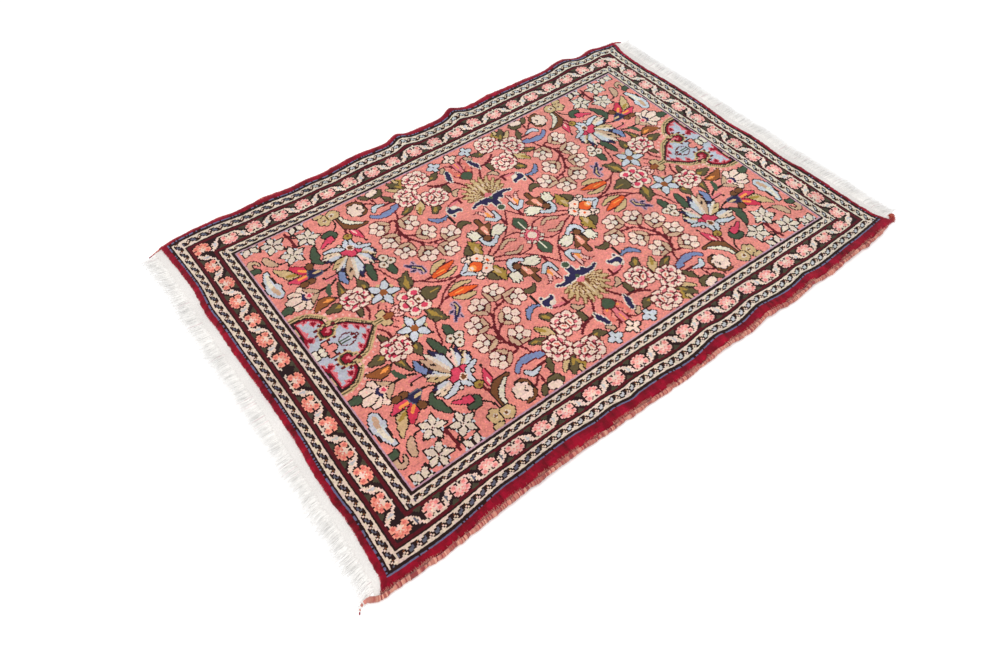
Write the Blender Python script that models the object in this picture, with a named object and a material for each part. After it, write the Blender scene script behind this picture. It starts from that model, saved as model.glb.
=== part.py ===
"""Small hand-knotted Persian rug lying flat on the floor.

Metres, +Z up, underside on z = 0. The long side runs along X and +Y is the far side.
The knotted body, the two overcast side cords and the two fringed end webs are separate
solids that meet with a small gap. Tables give places in millimetres from the middle of
the patterned field.
"""

import math

import bmesh
import bpy

MM = 0.001
GAP = 0.3 * MM               # clearance between neighbouring solids

# Where the middle of the field lies when the whole rug is centred on the origin.
FIELD_X = 6.49 * MM
FIELD_Y = -1.26 * MM

# The knotted body as it was on the loom, before its edges rippled.
BODY_LEFT = -611.0 * MM
BODY_RIGHT = 601.0 * MM
BODY_FRONT = -430.0 * MM
BODY_BACK = 436.0 * MM
PILE_HEIGHT = 7.5 * MM       # back of the knots to the cut ends of the pile
EDGE_HEIGHT = 6.4 * MM       # the pile is rounded off along its rim
RIPPLE_REACH = 95.0 * MM     # how far an edge's ripple runs into the rug
FLARE_REACH = 60.0 * MM      # how far an end's unevenness runs into the rug

# Grid lines of the body: distances from a rim, then the even steps between the rims.
RIM_STEPS = (0.0, 5.0 * MM, 16.0 * MM, 32.0 * MM, 52.0 * MM, 74.0 * MM, 98.0 * MM)
END_STEPS = (0.0, 5.0 * MM, 20.0 * MM, 40.0 * MM)
COLUMN_STEP = 19.0 * MM
ROW_STEP = 110.0 * MM

SELVEDGE_FRONT_RADIUS = 3.0 * MM
SELVEDGE_BACK_RADIUS = 2.0 * MM
SELVEDGE_CLEARANCE = 0.75 * MM   # beyond the radius, where the rim turns

WEB_WIDTH = 21.0 * MM        # flat woven end between the pile and the loose warps
WEB_THICKNESS = 1.8 * MM
WEB_FOLLOW = 0.5             # share of the pile end's unevenness that the web's far side takes
WEB_MARGIN = 9.0 * MM        # bare web between a side cord's loose end and the first bundle
STRAND_COUNT = 104           # warp bundles in each fringe
STRAND_LENGTH = 33.0 * MM
STRAND_ROOT = 5.2 * MM       # width where a bundle leaves the web
STRAND_TIP = 2.2 * MM
STRAND_BEND = 1.3 * MM       # how far a bundle's middle strays from straight
STRAND_LEAN = 1.2 * MM       # and its tip, which also drifts a little towards the front
STRAND_DRIFT = 0.8 * MM
STRAND_UNEVEN = 0.05         # bundles are up to a tenth shorter than the longest
BEND_TURN, LEAN_TURN, REACH_TURN = 2.1, 0.9, 1.7    # radians from one bundle to the next

# Long edges: place along the edge, place of the rim, height of the ripple there.
# x, y, lift
BACK_EDGE = (
    (-611, 435.0, 2.0), (-578, 437.5, 5.5), (-510, 438.5, 6.5), (-447, 437.0, 3.5),
    (-420, 438.0, 4.5), (-376, 438.0, 4.0), (-330, 436.0, 1.5), (-286, 437.0, 2.5),
    (-242, 435.5, 1.0), (-218, 437.0, 2.0), (-158, 438.5, 5.5), (-113, 437.0, 3.0),
    (-78, 436.0, 2.5), (-52, 439.5, 10.0), (-24, 437.5, 3.0), (0, 436.5, 1.5),
    (62, 435.5, 1.0), (82, 437.0, 5.0), (100, 440.0, 13.0), (128, 437.0, 5.0),
    (152, 435.5, 1.0), (216, 437.0, 4.0), (305, 436.0, 2.0), (387, 435.0, 1.0),
    (427, 438.5, 5.5), (456, 438.0, 4.5), (480, 430.5, 1.0), (504, 427.5, 1.0),
    (540, 431.5, 2.5), (567, 426.5, 1.0), (601, 423.0, 0.5),
)
FRONT_EDGE = (
    (-611, -433.0, 0.5), (-567, -434.5, 0.5), (-523, -435.0, 0.0), (-480, -434.0, 1.0),
    (-436, -431.5, 1.5), (-392, -430.0, 2.5), (-349, -428.5, 3.5), (-305, -428.0, 3.5),
    (-245, -427.5, 2.5), (-218, -428.0, 1.0), (-164, -429.0, 1.0), (-109, -429.5, 1.0),
    (-55, -431.0, 0.0), (0, -432.0, 0.0), (44, -431.0, 0.5), (82, -428.5, 2.0),
    (109, -427.5, 3.0), (131, -430.0, 1.0), (174, -431.0, 1.5), (218, -426.5, 3.5),
    (251, -429.0, 1.5), (283, -431.0, 0.0), (316, -429.5, 1.5), (349, -427.5, 3.5),
    (376, -430.0, 1.0), (398, -431.0, 0.0), (436, -429.5, 2.0), (480, -427.5, 3.5),
    (512, -427.5, 2.0), (545, -426.0, 3.0), (578, -423.0, 2.0), (601, -419.0, 1.0),
)
# Short edges: place along the edge, place of the rim.
# y, x
LEFT_EDGE = (
    (-430, -630.0), (-414, -620.0), (-392, -616.5), (-349, -614.0), (-305, -612.0),
    (-262, -614.5), (-196, -613.5), (-131, -610.0), (0, -610.0), (76, -612.5),
    (175, -613.5), (218, -615.5), (284, -610.0), (349, -611.5), (392, -614.5),
    (436, -617.5),
)
RIGHT_EDGE = (
    (-430, 617.0), (-414, 611.0), (-392, 604.5), (-327, 603.0), (-218, 603.5),
    (-153, 598.5), (-65, 603.0), (0, 598.0), (44, 599.5), (109, 603.5), (218, 601.5),
    (284, 597.0), (349, 598.5), (392, 602.5), (414, 608.0), (436, 611.0),
)
# Loose ends of the side cords past the body's corners.
# x beyond the rim, y beyond the cord's line
FRONT_LEFT_TAIL = ((8, 2.0), (20, 7.0), (29, 8.5), (38, 2.0))
FRONT_RIGHT_TAIL = ((8, 1.5), (16, 4.5), (24, 8.0), (30, 12.0))
BACK_LEFT_TAIL = ((8, -2.5), (18, -6.0), (28, -9.5), (41, -16.0))
BACK_RIGHT_TAIL = ((8, -3.0), (16, -6.5), (24, -10.0))

CLOTH = bpy.data.collections.new("persian_rug")


def clear_scene():
    for item in list(bpy.data.objects):
        bpy.data.objects.remove(item, do_unlink=True)
    bpy.context.scene.collection.children.link(CLOTH)


def read_edge(rows, column, place):
    """One column of an edge table at a place in metres, on a smooth curve through its rows."""
    x = min(max(place / MM, rows[0][0]), rows[-1][0])
    last = len(rows) - 1
    i = max(k for k in range(last) if rows[k][0] <= x)
    before, start = rows[max(i - 1, 0)], rows[i]
    end, after = rows[i + 1], rows[min(i + 2, last)]
    span = end[0] - start[0]
    k = (x - start[0]) / span
    leave = (end[column] - before[column]) / (end[0] - before[0]) * span
    arrive = (after[column] - start[column]) / (after[0] - start[0]) * span
    value = (
        start[column] * (2 * k**3 - 3 * k**2 + 1)
        + leave * (k**3 - 2 * k**2 + k)
        + end[column] * (3 * k**2 - 2 * k**3)
        + arrive * (k**3 - k**2)
    )
    return value * MM


def fade(distance, reach):
    """1 on a rim, easing to 0 at its reach."""
    k = max(0.0, 1.0 - distance / reach)
    return k * k * (3.0 - 2.0 * k)


def lay(u, v):
    """Where a point of the flat body lies on the floor, and how high the cloth is lifted."""
    from_back, from_front = BODY_BACK - v, v - BODY_FRONT
    back, front = fade(from_back, RIPPLE_REACH), fade(from_front, RIPPLE_REACH)
    y = v + back * (read_edge(BACK_EDGE, 1, u) - BODY_BACK)
    y += front * (read_edge(FRONT_EDGE, 1, u) - BODY_FRONT)
    lift = back * read_edge(BACK_EDGE, 2, u) + front * read_edge(FRONT_EDGE, 2, u)
    left, right = fade(u - BODY_LEFT, FLARE_REACH), fade(BODY_RIGHT - u, FLARE_REACH)
    x = u + left * (read_edge(LEFT_EDGE, 1, v) - BODY_LEFT)
    x += right * (read_edge(RIGHT_EDGE, 1, v) - BODY_RIGHT)
    return x + FIELD_X, y + FIELD_Y, max(0.0, lift)


def grid_lines(low, high, rim_steps, step):
    """Lines from low to high: close together at both rims and evenly spaced between."""
    start, end = low + rim_steps[-1], high - rim_steps[-1]
    count = round((end - start) / step)
    middle = [start + (end - start) * i / count for i in range(1, count)]
    return [low + s for s in rim_steps] + middle + [high - s for s in reversed(rim_steps)]


def link(name, mesh, color, roughness):
    """Adds a named object with its own material to the rug's collection."""
    material = bpy.data.materials.new(name)
    material.use_nodes = True
    shader = material.node_tree.nodes["Principled BSDF"]
    shader.inputs["Base Color"].default_value = color
    shader.inputs["Roughness"].default_value = roughness
    shader.inputs["Metallic"].default_value = 0.0
    mesh.materials.append(material)
    item = bpy.data.objects.new(name, mesh)
    CLOTH.objects.link(item)
    return item


def build_body():
    """The knotted slab: a grid for its back, laid along the rippled edges, then thickened."""
    columns = grid_lines(BODY_LEFT, BODY_RIGHT, END_STEPS, COLUMN_STEP)
    rows = grid_lines(BODY_FRONT, BODY_BACK, RIM_STEPS, ROW_STEP)
    last_column, last_row = len(columns) - 1, len(rows) - 1
    bm = bmesh.new()
    bmesh.ops.create_grid(bm, x_segments=last_column, y_segments=last_row, size=1.0)
    for vert in bm.verts:
        i = round((vert.co.x + 1.0) / 2.0 * last_column)
        j = round((vert.co.y + 1.0) / 2.0 * last_row)
        vert.co = lay(columns[i], rows[j])
    rim = [vert for vert in bm.verts if vert.is_boundary]
    rim_places = {tuple(vert.co) for vert in rim}
    grown = bmesh.ops.extrude_face_region(bm, geom=list(bm.faces), use_keep_orig=True)
    for vert in grown["geom"]:
        if isinstance(vert, bmesh.types.BMVert):
            vert.co.z += EDGE_HEIGHT if tuple(vert.co) in rim_places else PILE_HEIGHT
    bmesh.ops.recalc_face_normals(bm, faces=bm.faces)
    mesh = bpy.data.meshes.new("pile_body")
    bm.to_mesh(mesh)
    bm.free()
    link("pile_body", mesh, (0.62, 0.16, 0.14, 1.0), 0.95)


def cord_points(side, radius, left_tail, right_tail):
    """Centre line of a side cord, along a long edge and out to its two loose ends."""
    offset = side * (radius + SELVEDGE_CLEARANCE)
    rim = BODY_BACK if side > 0 else BODY_FRONT
    points = []
    for u in grid_lines(BODY_LEFT, BODY_RIGHT, END_STEPS, COLUMN_STEP):
        x, y, lift = lay(u, rim)
        points.append((x, y + offset, lift + radius))
    for tail, end, way in ((left_tail, 0, -1), (right_tail, -1, 1)):
        x, y, z = points[end]
        for n, (beyond, aside) in enumerate(tail, start=1):
            height = radius + (z - radius) * (1.0 - n / len(tail))
            point = (x + way * beyond * MM, y + aside * MM, height)
            points.insert(0 if way < 0 else len(points), point)
    return points


def build_cord(name, points, radius, color):
    """A side cord: a round tube of overcast yarn along its points."""
    curve = bpy.data.curves.new(name, "CURVE")
    curve.dimensions = "3D"
    curve.bevel_depth = radius
    curve.bevel_resolution = 2
    curve.use_fill_caps = True
    spline = curve.splines.new("POLY")
    spline.points.add(len(points) - 1)
    for control, point in zip(spline.points, points):
        control.co = (*point, 1.0)
    link(name, curve, color, 0.9)


def strand_outline(root_x, root_y, way, n):
    """Six corners of one loose warp bundle, from the front of its root round its tip."""
    bend = STRAND_BEND * math.sin(BEND_TURN * n)
    lean = bend + STRAND_LEAN * math.sin(LEAN_TURN * n) - STRAND_DRIFT
    reach = STRAND_LENGTH * (1.0 - STRAND_UNEVEN * (1.0 + math.sin(REACH_TURN * n)))
    half_root, half_tip = STRAND_ROOT / 2, STRAND_TIP / 2
    half_middle = (half_root + half_tip) / 2
    middle_x, tip_x = root_x + way * reach / 2, root_x + way * reach
    return [
        (root_x, root_y - half_root),
        (middle_x, root_y + bend - half_middle),
        (tip_x, root_y + lean - half_tip),
        (tip_x, root_y + lean + half_tip),
        (middle_x, root_y + bend + half_middle),
        (root_x, root_y + half_root),
    ]


def web_end(rim, v, tail, way):
    """The web's end beside a side cord's loose end, from the pile outwards."""
    x, y, _ = lay(rim, v)
    beside = [(x + way * GAP, y)]
    for beyond, aside in tail:
        if beyond * MM < WEB_WIDTH * WEB_FOLLOW:
            beside.append((x + way * beyond * MM, y + aside * MM))
    return beside


def fringe_outline(rim, edge, way, front_tail, back_tail):
    """Outline of an end web with its loose warp bundles, seen from above."""
    rows = grid_lines(BODY_FRONT, BODY_BACK, RIM_STEPS, ROW_STEP)
    pile_side = [lay(rim, v) for v in rows[1:-1]]
    outline = web_end(rim, BODY_FRONT, front_tail, way)[::-1]
    outline += [(x + way * GAP, y) for x, y, _ in pile_side]
    outline += web_end(rim, BODY_BACK, back_tail, way)
    deepest_front = max(aside for _, aside in front_tail) * MM
    deepest_back = min(aside for _, aside in back_tail) * MM
    start = lay(rim, BODY_FRONT)[1] + deepest_front + WEB_MARGIN
    end = lay(rim, BODY_BACK)[1] + deepest_back - WEB_MARGIN
    comb = []
    for n in range(STRAND_COUNT):
        root_y = start + (end - start) * n / (STRAND_COUNT - 1)
        uneven = read_edge(edge, 1, root_y - FIELD_Y) - rim
        root_x = FIELD_X + rim + WEB_FOLLOW * uneven + way * WEB_WIDTH
        comb += strand_outline(root_x, root_y, way, n)
    return outline + comb[::-1]


def build_fringe(name, outline):
    """An end web and its fringe: one flat outline given its thickness, level on the floor."""
    curve = bpy.data.curves.new(name, "CURVE")
    curve.dimensions = "2D"
    curve.fill_mode = "BOTH"
    curve.extrude = WEB_THICKNESS / 2
    spline = curve.splines.new("POLY")
    spline.points.add(len(outline) - 1)
    for control, (x, y) in zip(spline.points, outline):
        control.co = (x, y, 0.0, 1.0)
    spline.use_cyclic_u = True
    item = link(name, curve, (0.87, 0.85, 0.82, 1.0), 0.9)
    item.location.z = WEB_THICKNESS / 2


def build_rug():
    clear_scene()
    build_body()
    front = cord_points(-1, SELVEDGE_FRONT_RADIUS, FRONT_LEFT_TAIL, FRONT_RIGHT_TAIL)
    build_cord("selvedge_front", front, SELVEDGE_FRONT_RADIUS, (0.50, 0.20, 0.17, 1.0))
    back = cord_points(1, SELVEDGE_BACK_RADIUS, BACK_LEFT_TAIL, BACK_RIGHT_TAIL)
    build_cord("selvedge_back", back, SELVEDGE_BACK_RADIUS, (0.50, 0.16, 0.15, 1.0))
    left = fringe_outline(BODY_LEFT, LEFT_EDGE, -1, FRONT_LEFT_TAIL, BACK_LEFT_TAIL)
    build_fringe("fringe_left", left)
    right = fringe_outline(BODY_RIGHT, RIGHT_EDGE, 1, FRONT_RIGHT_TAIL, BACK_RIGHT_TAIL)
    build_fringe("fringe_right", right)


build_rug()
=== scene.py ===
"""Looks of a small hand-knotted Persian rug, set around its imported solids.

Metres in the row frame: +Z up, the long side along X, +Y the far side. The pile is one
face for each knot, coloured from a cartoon that is drawn below with a few kinds of
flower, leaf and stem, a quarter of the field at a time, as a weaver's cartoon is.
"""

import math

import bpy
import numpy as np
from mathutils import Matrix


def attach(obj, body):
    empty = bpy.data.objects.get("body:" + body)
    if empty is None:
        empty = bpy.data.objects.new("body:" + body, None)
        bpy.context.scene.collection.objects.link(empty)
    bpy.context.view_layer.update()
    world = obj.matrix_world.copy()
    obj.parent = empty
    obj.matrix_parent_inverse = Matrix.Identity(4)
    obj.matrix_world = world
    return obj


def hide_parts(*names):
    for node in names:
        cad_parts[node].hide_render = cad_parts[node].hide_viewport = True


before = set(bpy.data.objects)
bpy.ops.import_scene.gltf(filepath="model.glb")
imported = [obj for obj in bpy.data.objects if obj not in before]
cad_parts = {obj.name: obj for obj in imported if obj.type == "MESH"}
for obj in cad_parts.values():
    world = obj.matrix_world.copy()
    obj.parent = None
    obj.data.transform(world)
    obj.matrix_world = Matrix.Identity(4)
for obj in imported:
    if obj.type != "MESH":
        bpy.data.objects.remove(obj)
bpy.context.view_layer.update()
rng = np.random.default_rng(1907)

MM = 0.001

# Where the middle of the field lies when the whole rug is centred on the origin.
FIELD_X = 6.49 * MM
FIELD_Y = -1.26 * MM

# The knotted body as it was on the loom, before its edges rippled.
BODY_LEFT = -611.0 * MM
BODY_RIGHT = 601.0 * MM
BODY_FRONT = -430.0 * MM
BODY_BACK = 436.0 * MM
PILE_HEIGHT = 7.5 * MM       # back of the knots to the cut ends of the pile
EDGE_HEIGHT = 5.4 * MM       # the pile is rounded off along its rim
RIPPLE_REACH = 95.0 * MM     # how far an edge's ripple runs into the rug
FLARE_REACH = 60.0 * MM      # how far an end's unevenness runs into the rug

SELVEDGE_FRONT_RADIUS = 4.0 * MM
SELVEDGE_BACK_RADIUS = 2.0 * MM
SELVEDGE_CLEARANCE = 0.75 * MM

WEB_WIDTH = 21.0 * MM        # flat woven end between the pile and the loose warps
WEB_THICKNESS = 1.8 * MM
WEB_FOLLOW = 0.5             # share of the pile end's unevenness that the web's far side takes
STRAND_COUNT = 104           # warp bundles in each fringe
STRAND_LENGTH = 33.0 * MM
STRAND_SWAY = 0.8 * MM
STRAND_LEAN = 6.0 * MM       # the fringe fans out a little towards both corners

# Long edges: place along the edge, place of the rim, height of the ripple there, in millimetres.
# x, y, lift
BACK_EDGE = (
    (-611, 435, 2), (-578, 437.5, 5.5), (-510, 438.5, 6.5), (-447, 437, 3.5), (-420, 438, 4.5),
    (-376, 438, 4), (-330, 436, 1.5), (-286, 437, 2.5), (-242, 435.5, 1), (-218, 437, 2),
    (-158, 438.5, 5.5), (-113, 437, 3), (-78, 436, 2.5), (-52, 439.5, 10), (-24, 437.5, 3),
    (0, 436.5, 1.5), (62, 435.5, 1), (82, 437, 5), (100, 440, 13), (128, 437, 5), (152, 435.5, 1),
    (216, 437, 4), (305, 436, 2), (387, 435, 1), (427, 438.5, 5.5), (456, 438, 4.5), (480, 430.5, 1),
    (504, 427.5, 1), (540, 431.5, 2.5), (567, 426.5, 1), (601, 423, 0.5),
)
FRONT_EDGE = (
    (-611, -433, 0.5), (-567, -434.5, 0.5), (-523, -435, 0), (-480, -434, 1), (-436, -431.5, 1.5),
    (-392, -430, 2.5), (-349, -428.5, 3.5), (-305, -428, 3.5), (-245, -427.5, 2.5), (-218, -428, 1),
    (-164, -429, 1), (-109, -429.5, 1), (-55, -431, 0), (0, -432, 0), (44, -431, 0.5), (82, -428.5, 2),
    (109, -427.5, 3), (131, -430, 1), (174, -431, 1.5), (218, -426.5, 3.5), (251, -429, 1.5),
    (283, -431, 0), (316, -429.5, 1.5), (349, -427.5, 3.5), (376, -430, 1), (398, -431, 0),
    (436, -429.5, 2), (480, -427.5, 3.5), (512, -427.5, 2), (545, -426, 3), (578, -423, 2),
    (601, -419, 1),
)
# Short edges: place along the edge, place of the rim, in millimetres.
# y, x
LEFT_EDGE = (
    (-430, -630), (-414, -620), (-392, -616.5), (-349, -614), (-305, -612), (-262, -614.5),
    (-196, -613.5), (-131, -610), (0, -610), (76, -612.5), (175, -613.5), (218, -615.5), (284, -610),
    (349, -611.5), (392, -614.5), (436, -617.5),
)
RIGHT_EDGE = (
    (-430, 617), (-414, 611), (-392, 604.5), (-327, 603), (-218, 603.5), (-153, 598.5), (-65, 603),
    (0, 598), (44, 599.5), (109, 603.5), (218, 601.5), (284, 597), (349, 598.5), (392, 602.5),
    (414, 608), (436, 611),
)
# Loose ends of the side cords past the body's corners, in millimetres.
# x beyond the rim, y beyond the cord's line, radius
FRONT_LEFT_TAIL = (
    (8, 2, 4.4), (18, 5.5, 4.7), (24, 7.5, 3.2), (29, 8.5, 2.2), (34, 7, 1.6), (38, 2.5, 1.5),
    (41, -2, 1.3),
)
FRONT_RIGHT_TAIL = ((6, 2.5, 2.4), (11, 6, 3.2), (15, 9.5, 2.8), (17, 12, 1.6))
BACK_LEFT_TAIL = ((8, -1.6, 1.5), (18, -4.2, 1.2), (26, -7, 1), (31, -8.5, 0.9))
BACK_RIGHT_TAIL = ((8, -3, 2), (16, -6.5, 1.7), (22, -9.5, 1.2))

# The field's own edges on the flat body: its long sides bow in towards their middles.
FIELD_LEFT = -506.3 * MM
FIELD_RIGHT = 507.9 * MM
FIELD_FRONT = -319.6 * MM
FIELD_BACK = 322.2 * MM
FRONT_BOW = 6.5 * MM
BACK_BOW = 4.9 * MM

# Width of the crimson band along the long edges, which wanders, in millimetres.
# x, width
FRONT_HEM = (
    (-611, 13), (-495, 13), (-437, 16), (-391, 20), (-350, 18.5), (-301, 20.5), (-234, 21.5),
    (-190, 19), (-148, 21), (-110, 15.5), (-89, 18.5), (-24, 18.5), (0, 15), (40, 13.5), (98, 17),
    (150, 14.5), (222, 17), (275, 16), (320, 14), (358, 16.5), (445, 15), (517, 16), (601, 17),
)
BACK_HEM = (
    (-611, 8), (-520, 9), (-437, 12.5), (-350, 14.5), (-110, 14), (-50, 10.5), (0, 13.5), (107, 13),
    (230, 14), (350, 11), (480, 9.5), (560, 12.5), (601, 12),
)

# Knots: how many across each border, and in the field.
LEFT_KNOTS, RIGHT_KNOTS = 36, 32
FRONT_KNOTS, BACK_KNOTS = 38, 39
HALF_COLUMNS, HALF_ROWS = 176, 111          # the middle column and row are shared
FIELD_COLUMNS, FIELD_ROWS = 2 * HALF_COLUMNS - 1, 2 * HALF_ROWS - 1

SHOULDER = 7.0 * MM          # how far the pile's rim is rounded
RAGGED = 1.3 * MM            # how far single tufts of the rim stand in or out
KNOT_STRAY = 0.45 * MM       # knots aren't set in perfectly straight rows
CLIP_UNEVEN = 0.16 * MM      # the shears' unevenness
TUFT_ROUND = 0.10            # how far the corners of a lone tuft are drawn in, in knots
CORRODED_DEPTH = 0.5 * MM    # black and brown wool wears lower than the rest
BACK_LEVEL = 0.3 * MM        # height of the underside over the floor
BACK_UNEVEN = 0.35 * MM
EDGE_BELLY = 0.8 * MM        # the rim's tufts lean outwards
EDGE_FLARE = 1.3 * MM
UV_MARGIN = 0.01

# Unevenness of the yarns' colours, as a share of their own light.
TUFT_TONE, SALMON_TONE = 0.07, 0.1      # from one knot to the next
PASS_TONE = 0.03             # from one pair of rows to the next
BATCH_TONE = 0.05            # from one batch of dye to the next, in patches of BATCH_KNOTS
BATCH_KNOTS = 16
WARMTH = 0.03                # more green and less blue, or the other way round
HEM_KNOTS = 5                # the crimson within this depth of the rug's edge is uneven in patches, with painted light across it
HEM_EDGE_HIGHLIGHT, HEM_INWARD_SHADE = 0.06, 0.09         # painted light: a painted highlight at the very edge, and painted shade deepening with each knot inwards
HEM_PATCHES = ((0.2, 4), (0.14, 2))     # strength, knots across
HEM_WARMTH, HEM_WARMTH_KNOTS = 0.08, 5
LEFT_HEM_KNOTS, LEFT_HEM_SHADE = 3, 0.12
# Painted sheen: the pile's red, green and blue are painted paler towards the right and the back, as
# light on its leaning nap would make them.
PAINTED_SHEEN = (0.06, 0.15, 0.16)
SHEEN_RIGHT, SHEEN_BACK = 0.75, 0.35        # how much of that comes from each way
DARKEST = 0.002

CORD_STEP = 8.0 * MM
WRAP_PITCH = 2.1 * MM        # one turn of the overcasting yarn
WRAP_RINGS = 4
WRAP_SIDES = 10
WRAP_SLANT = 0.35
WRAP_RELIEF = 0.16
WRAP_CLOSE = 0.35            # how far the cord closes at its two ends
WRAP_TONE = 0.1              # unevenness from one turn to the next
CORD_SWAY = 0.8 * MM
CORD_TAPER = ((10.0 * MM, 50.0 * MM), (0.5, 1.0))      # from the right end: distance, share of radius
CORD_UNEVEN = ((0.08, 1), (0.13, 5))    # strength, turns from one thick place to the next
LOWEST_YARN = 0.1 * MM
FRONT_WRAP_SHADES = (
    (192, 118, 104), (172, 96, 86), (212, 150, 130), (150, 66, 66), (198, 130, 114),
)
BACK_WRAP_SHADES = ((186, 84, 84), (160, 36, 48), (204, 122, 110))
WRAP_YARNS = {"r": (150, 16, 44), "p": (200, 128, 116), "w": (238, 230, 226), "o": (176, 92, 62)}
# Yarns of the overcasting's last turns, counted from the left end and from the right end.
FRONT_END_WRAPS = ("rrrwpwwppwppppp", "oooorrrrrrrrrrrrrrrrprrprrpprp")
BACK_END_WRAPS = ("rrrrrp", "rrrr")

COTTON = (250, 247, 243)
# the yarns' tips are painted paler, a painted highlight where they fade into the bright floor
COTTON_TIP_HIGHLIGHT = (255, 254, 253)
WEB_COTTON = (227, 223, 219)
BLED_COTTON = (230, 210, 211)      # where the crimson's dye has run
WEB_CELL = 1.5 * MM
WEB_TUCK = 0.8 * MM          # the web runs a little way under the pile
WEB_FOOT = 0.9 * MM          # its height there
WEB_RELIEF = 0.16            # how far the weave's hollows lie under its ridges, against the thickness
WEB_THINNING = 0.35          # the web is thinner at the warps
WEB_STRAY, WEB_UNEVEN = 0.12 * MM, 0.06 * MM
WEB_BLEED, WEB_BLEED_LOSS = 0.7, 3.0    # dye at the pile, and how fast it fades
WEB_BLOT = 0.35              # patches of more and less dye
WEB_TONE = 0.012
YARNS_PER_BUNDLE = 8
YARN_STATIONS = 12
YARN_SIDES = 4
LOWEST_WARP = 0.05 * MM
YARN_RADIUS = 0.72 * MM
YARN_TRIM = 0.06             # unevenness of the yarns' lengths
YARN_CURL, YARN_STRAY = 0.3 * MM, 0.8 * MM
YARN_TONE = 0.02
LOWER_SHARE = 0.36           # share of the yarns that lie under the others
YARN_LEVEL = 0.8 * MM        # height of the lower yarns, and how far the upper ones arch over them
YARN_ARCH = 0.7 * MM
YARN_SHADE = 0.22            # the lower yarns lie in the upper ones' shade
STAINED_SHARE = 0.025        # share of the yarns that the crimson has stained
TAIL_ROOM = (2.5 * MM, 1.5 * MM)        # room for the front and the back cord's loose ends

PATCH_SCALE = 14.0           # of the slow mottling, in patches to the metre

# A stray fibre: places along it, and its thickness there.
FIBRE_PLACES = (0.0, 0.55, 1.0)
FIBRE_TAPER = (1.0, 0.8, 0.15)
LOWEST_FIBRE = 0.3 * MM
RIM_FIBRE, STITCH_FIBRE, TUFT_FIBRE = 0.3 * MM, 0.42 * MM, 0.34 * MM       # radius
RIM_FIBRE_ROOT = 0.8 * MM    # how deep a rim fibre starts in the pile
# The rim fibres are painted in paler crimsons than the pile's, a painted highlight that offsets their
# own shade.
BRIGHTENED_FUZZ_SHADES = ((200, 24, 58), (176, 14, 46), (214, 60, 84))
STITCH_COUNT = 3600          # loose yarn of the overcasting, over the front rim
TUFT_SHADES = ((206, 92, 66), (186, 44, 52), (216, 128, 98), (190, 20, 48))
TUFT_FIBRES = 1500           # a frayed tuft at the right front corner

FLOOR_SIZE = 14.0
FLOOR_GLOW = 0.12            # a little light from under the white floor, as on a light table
SKY_STRENGTH = 0.73
LAMP_POWER = 47.0
LAMP_PLACE = (-0.8, -0.5, 2.7)
LAMP_SIZE = (3.0, 2.4)
CAMERA_LENS = 26.73
CAMERA_PLACE = (-0.69198, -0.82750, 1.09629)
CAMERA_AXES = (
    (0.79618331, -0.60498729, -0.00908368),
    (-0.48585546, -0.6303102, -0.60551922),
    (0.36060589, 0.48651766, -0.79577884),
)


# ---------------------------------------------------------------- the cartoon's tools

# Dyed yarns, sRGB.
PALETTE = {
    "salmon": (219, 134, 123), "crimson": (138, 8, 36), "ink": (38, 20, 18),
    "wine": (94, 22, 30), "ivory": (214, 198, 180), "night": (38, 20, 22),
    "claret": (84, 14, 26), "slate": (90, 92, 106), "lilac": (181, 144, 160),
    "sky": (190, 195, 202), "blue": (116, 130, 168), "navy": (40, 34, 70),
    "green": (64, 80, 60), "olive": (90, 79, 52), "khaki": (196, 167, 122),
    "beige": (192, 158, 130), "brown": (112, 70, 40), "rust": (142, 82, 42),
    "orange": (218, 88, 38), "amber": (236, 148, 72), "mustard": (158, 128, 58),
    "magenta": (206, 66, 92), "rose": (210, 112, 119), "blush": (230, 177, 166),
    "coral": (214, 113, 101), "peach": (232, 153, 132), "cream": (228, 201, 184),
    "cherry": (196, 50, 74), "sand": (214, 188, 162), "silver": (212, 198, 184),
    "white": (217, 208, 187), "moss": (66, 63, 48), "mist": (176, 181, 191),
    "pearl": (184, 186, 188), "iris": (98, 102, 134), "shell": (224, 133, 129),
}
YARN = {name: number for number, name in enumerate(PALETTE)}
CORRODED = [YARN[name] for name in ("ink", "wine", "night", "brown")]


def grown(mask):
    """The mask with one more knot all round, corners left out."""
    wide = mask.copy()
    wide[1:] |= mask[:-1]
    wide[:-1] |= mask[1:]
    wide[:, 1:] |= mask[:, :-1]
    wide[:, :-1] |= mask[:, 1:]
    return wide


def heading(turn):
    """Cosine and sine of a turn in degrees."""
    angle = math.radians(turn)
    return math.cos(angle), math.sin(angle)


def ease(values, slopes, i, k, span=1.0):
    """The smooth curve from value i to the next one, at share k of the span between them."""
    return (
        values[i] * (2 * k**3 - 3 * k**2 + 1) + slopes[i] * span * (k**3 - 2 * k**2 + k)
        + values[i + 1] * (3 * k**2 - 2 * k**3) + slopes[i + 1] * span * (k**3 - k**2)
    )


def spline(points, count=40):
    """Places on a smooth curve through the points."""
    points = np.asarray(points, float)
    if len(points) == 2:
        return points[0] + (points[1] - points[0]) * np.linspace(0.0, 1.0, count)[:, None]
    at = np.linspace(0.0, len(points) - 1.0, count)
    i = np.minimum(at.astype(int), len(points) - 2)
    return ease(points, np.gradient(points, axis=0), i, (at - i)[:, None])


THINNEST = 0.55      # half the width of the thinnest line that covers a knot at every step


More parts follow.
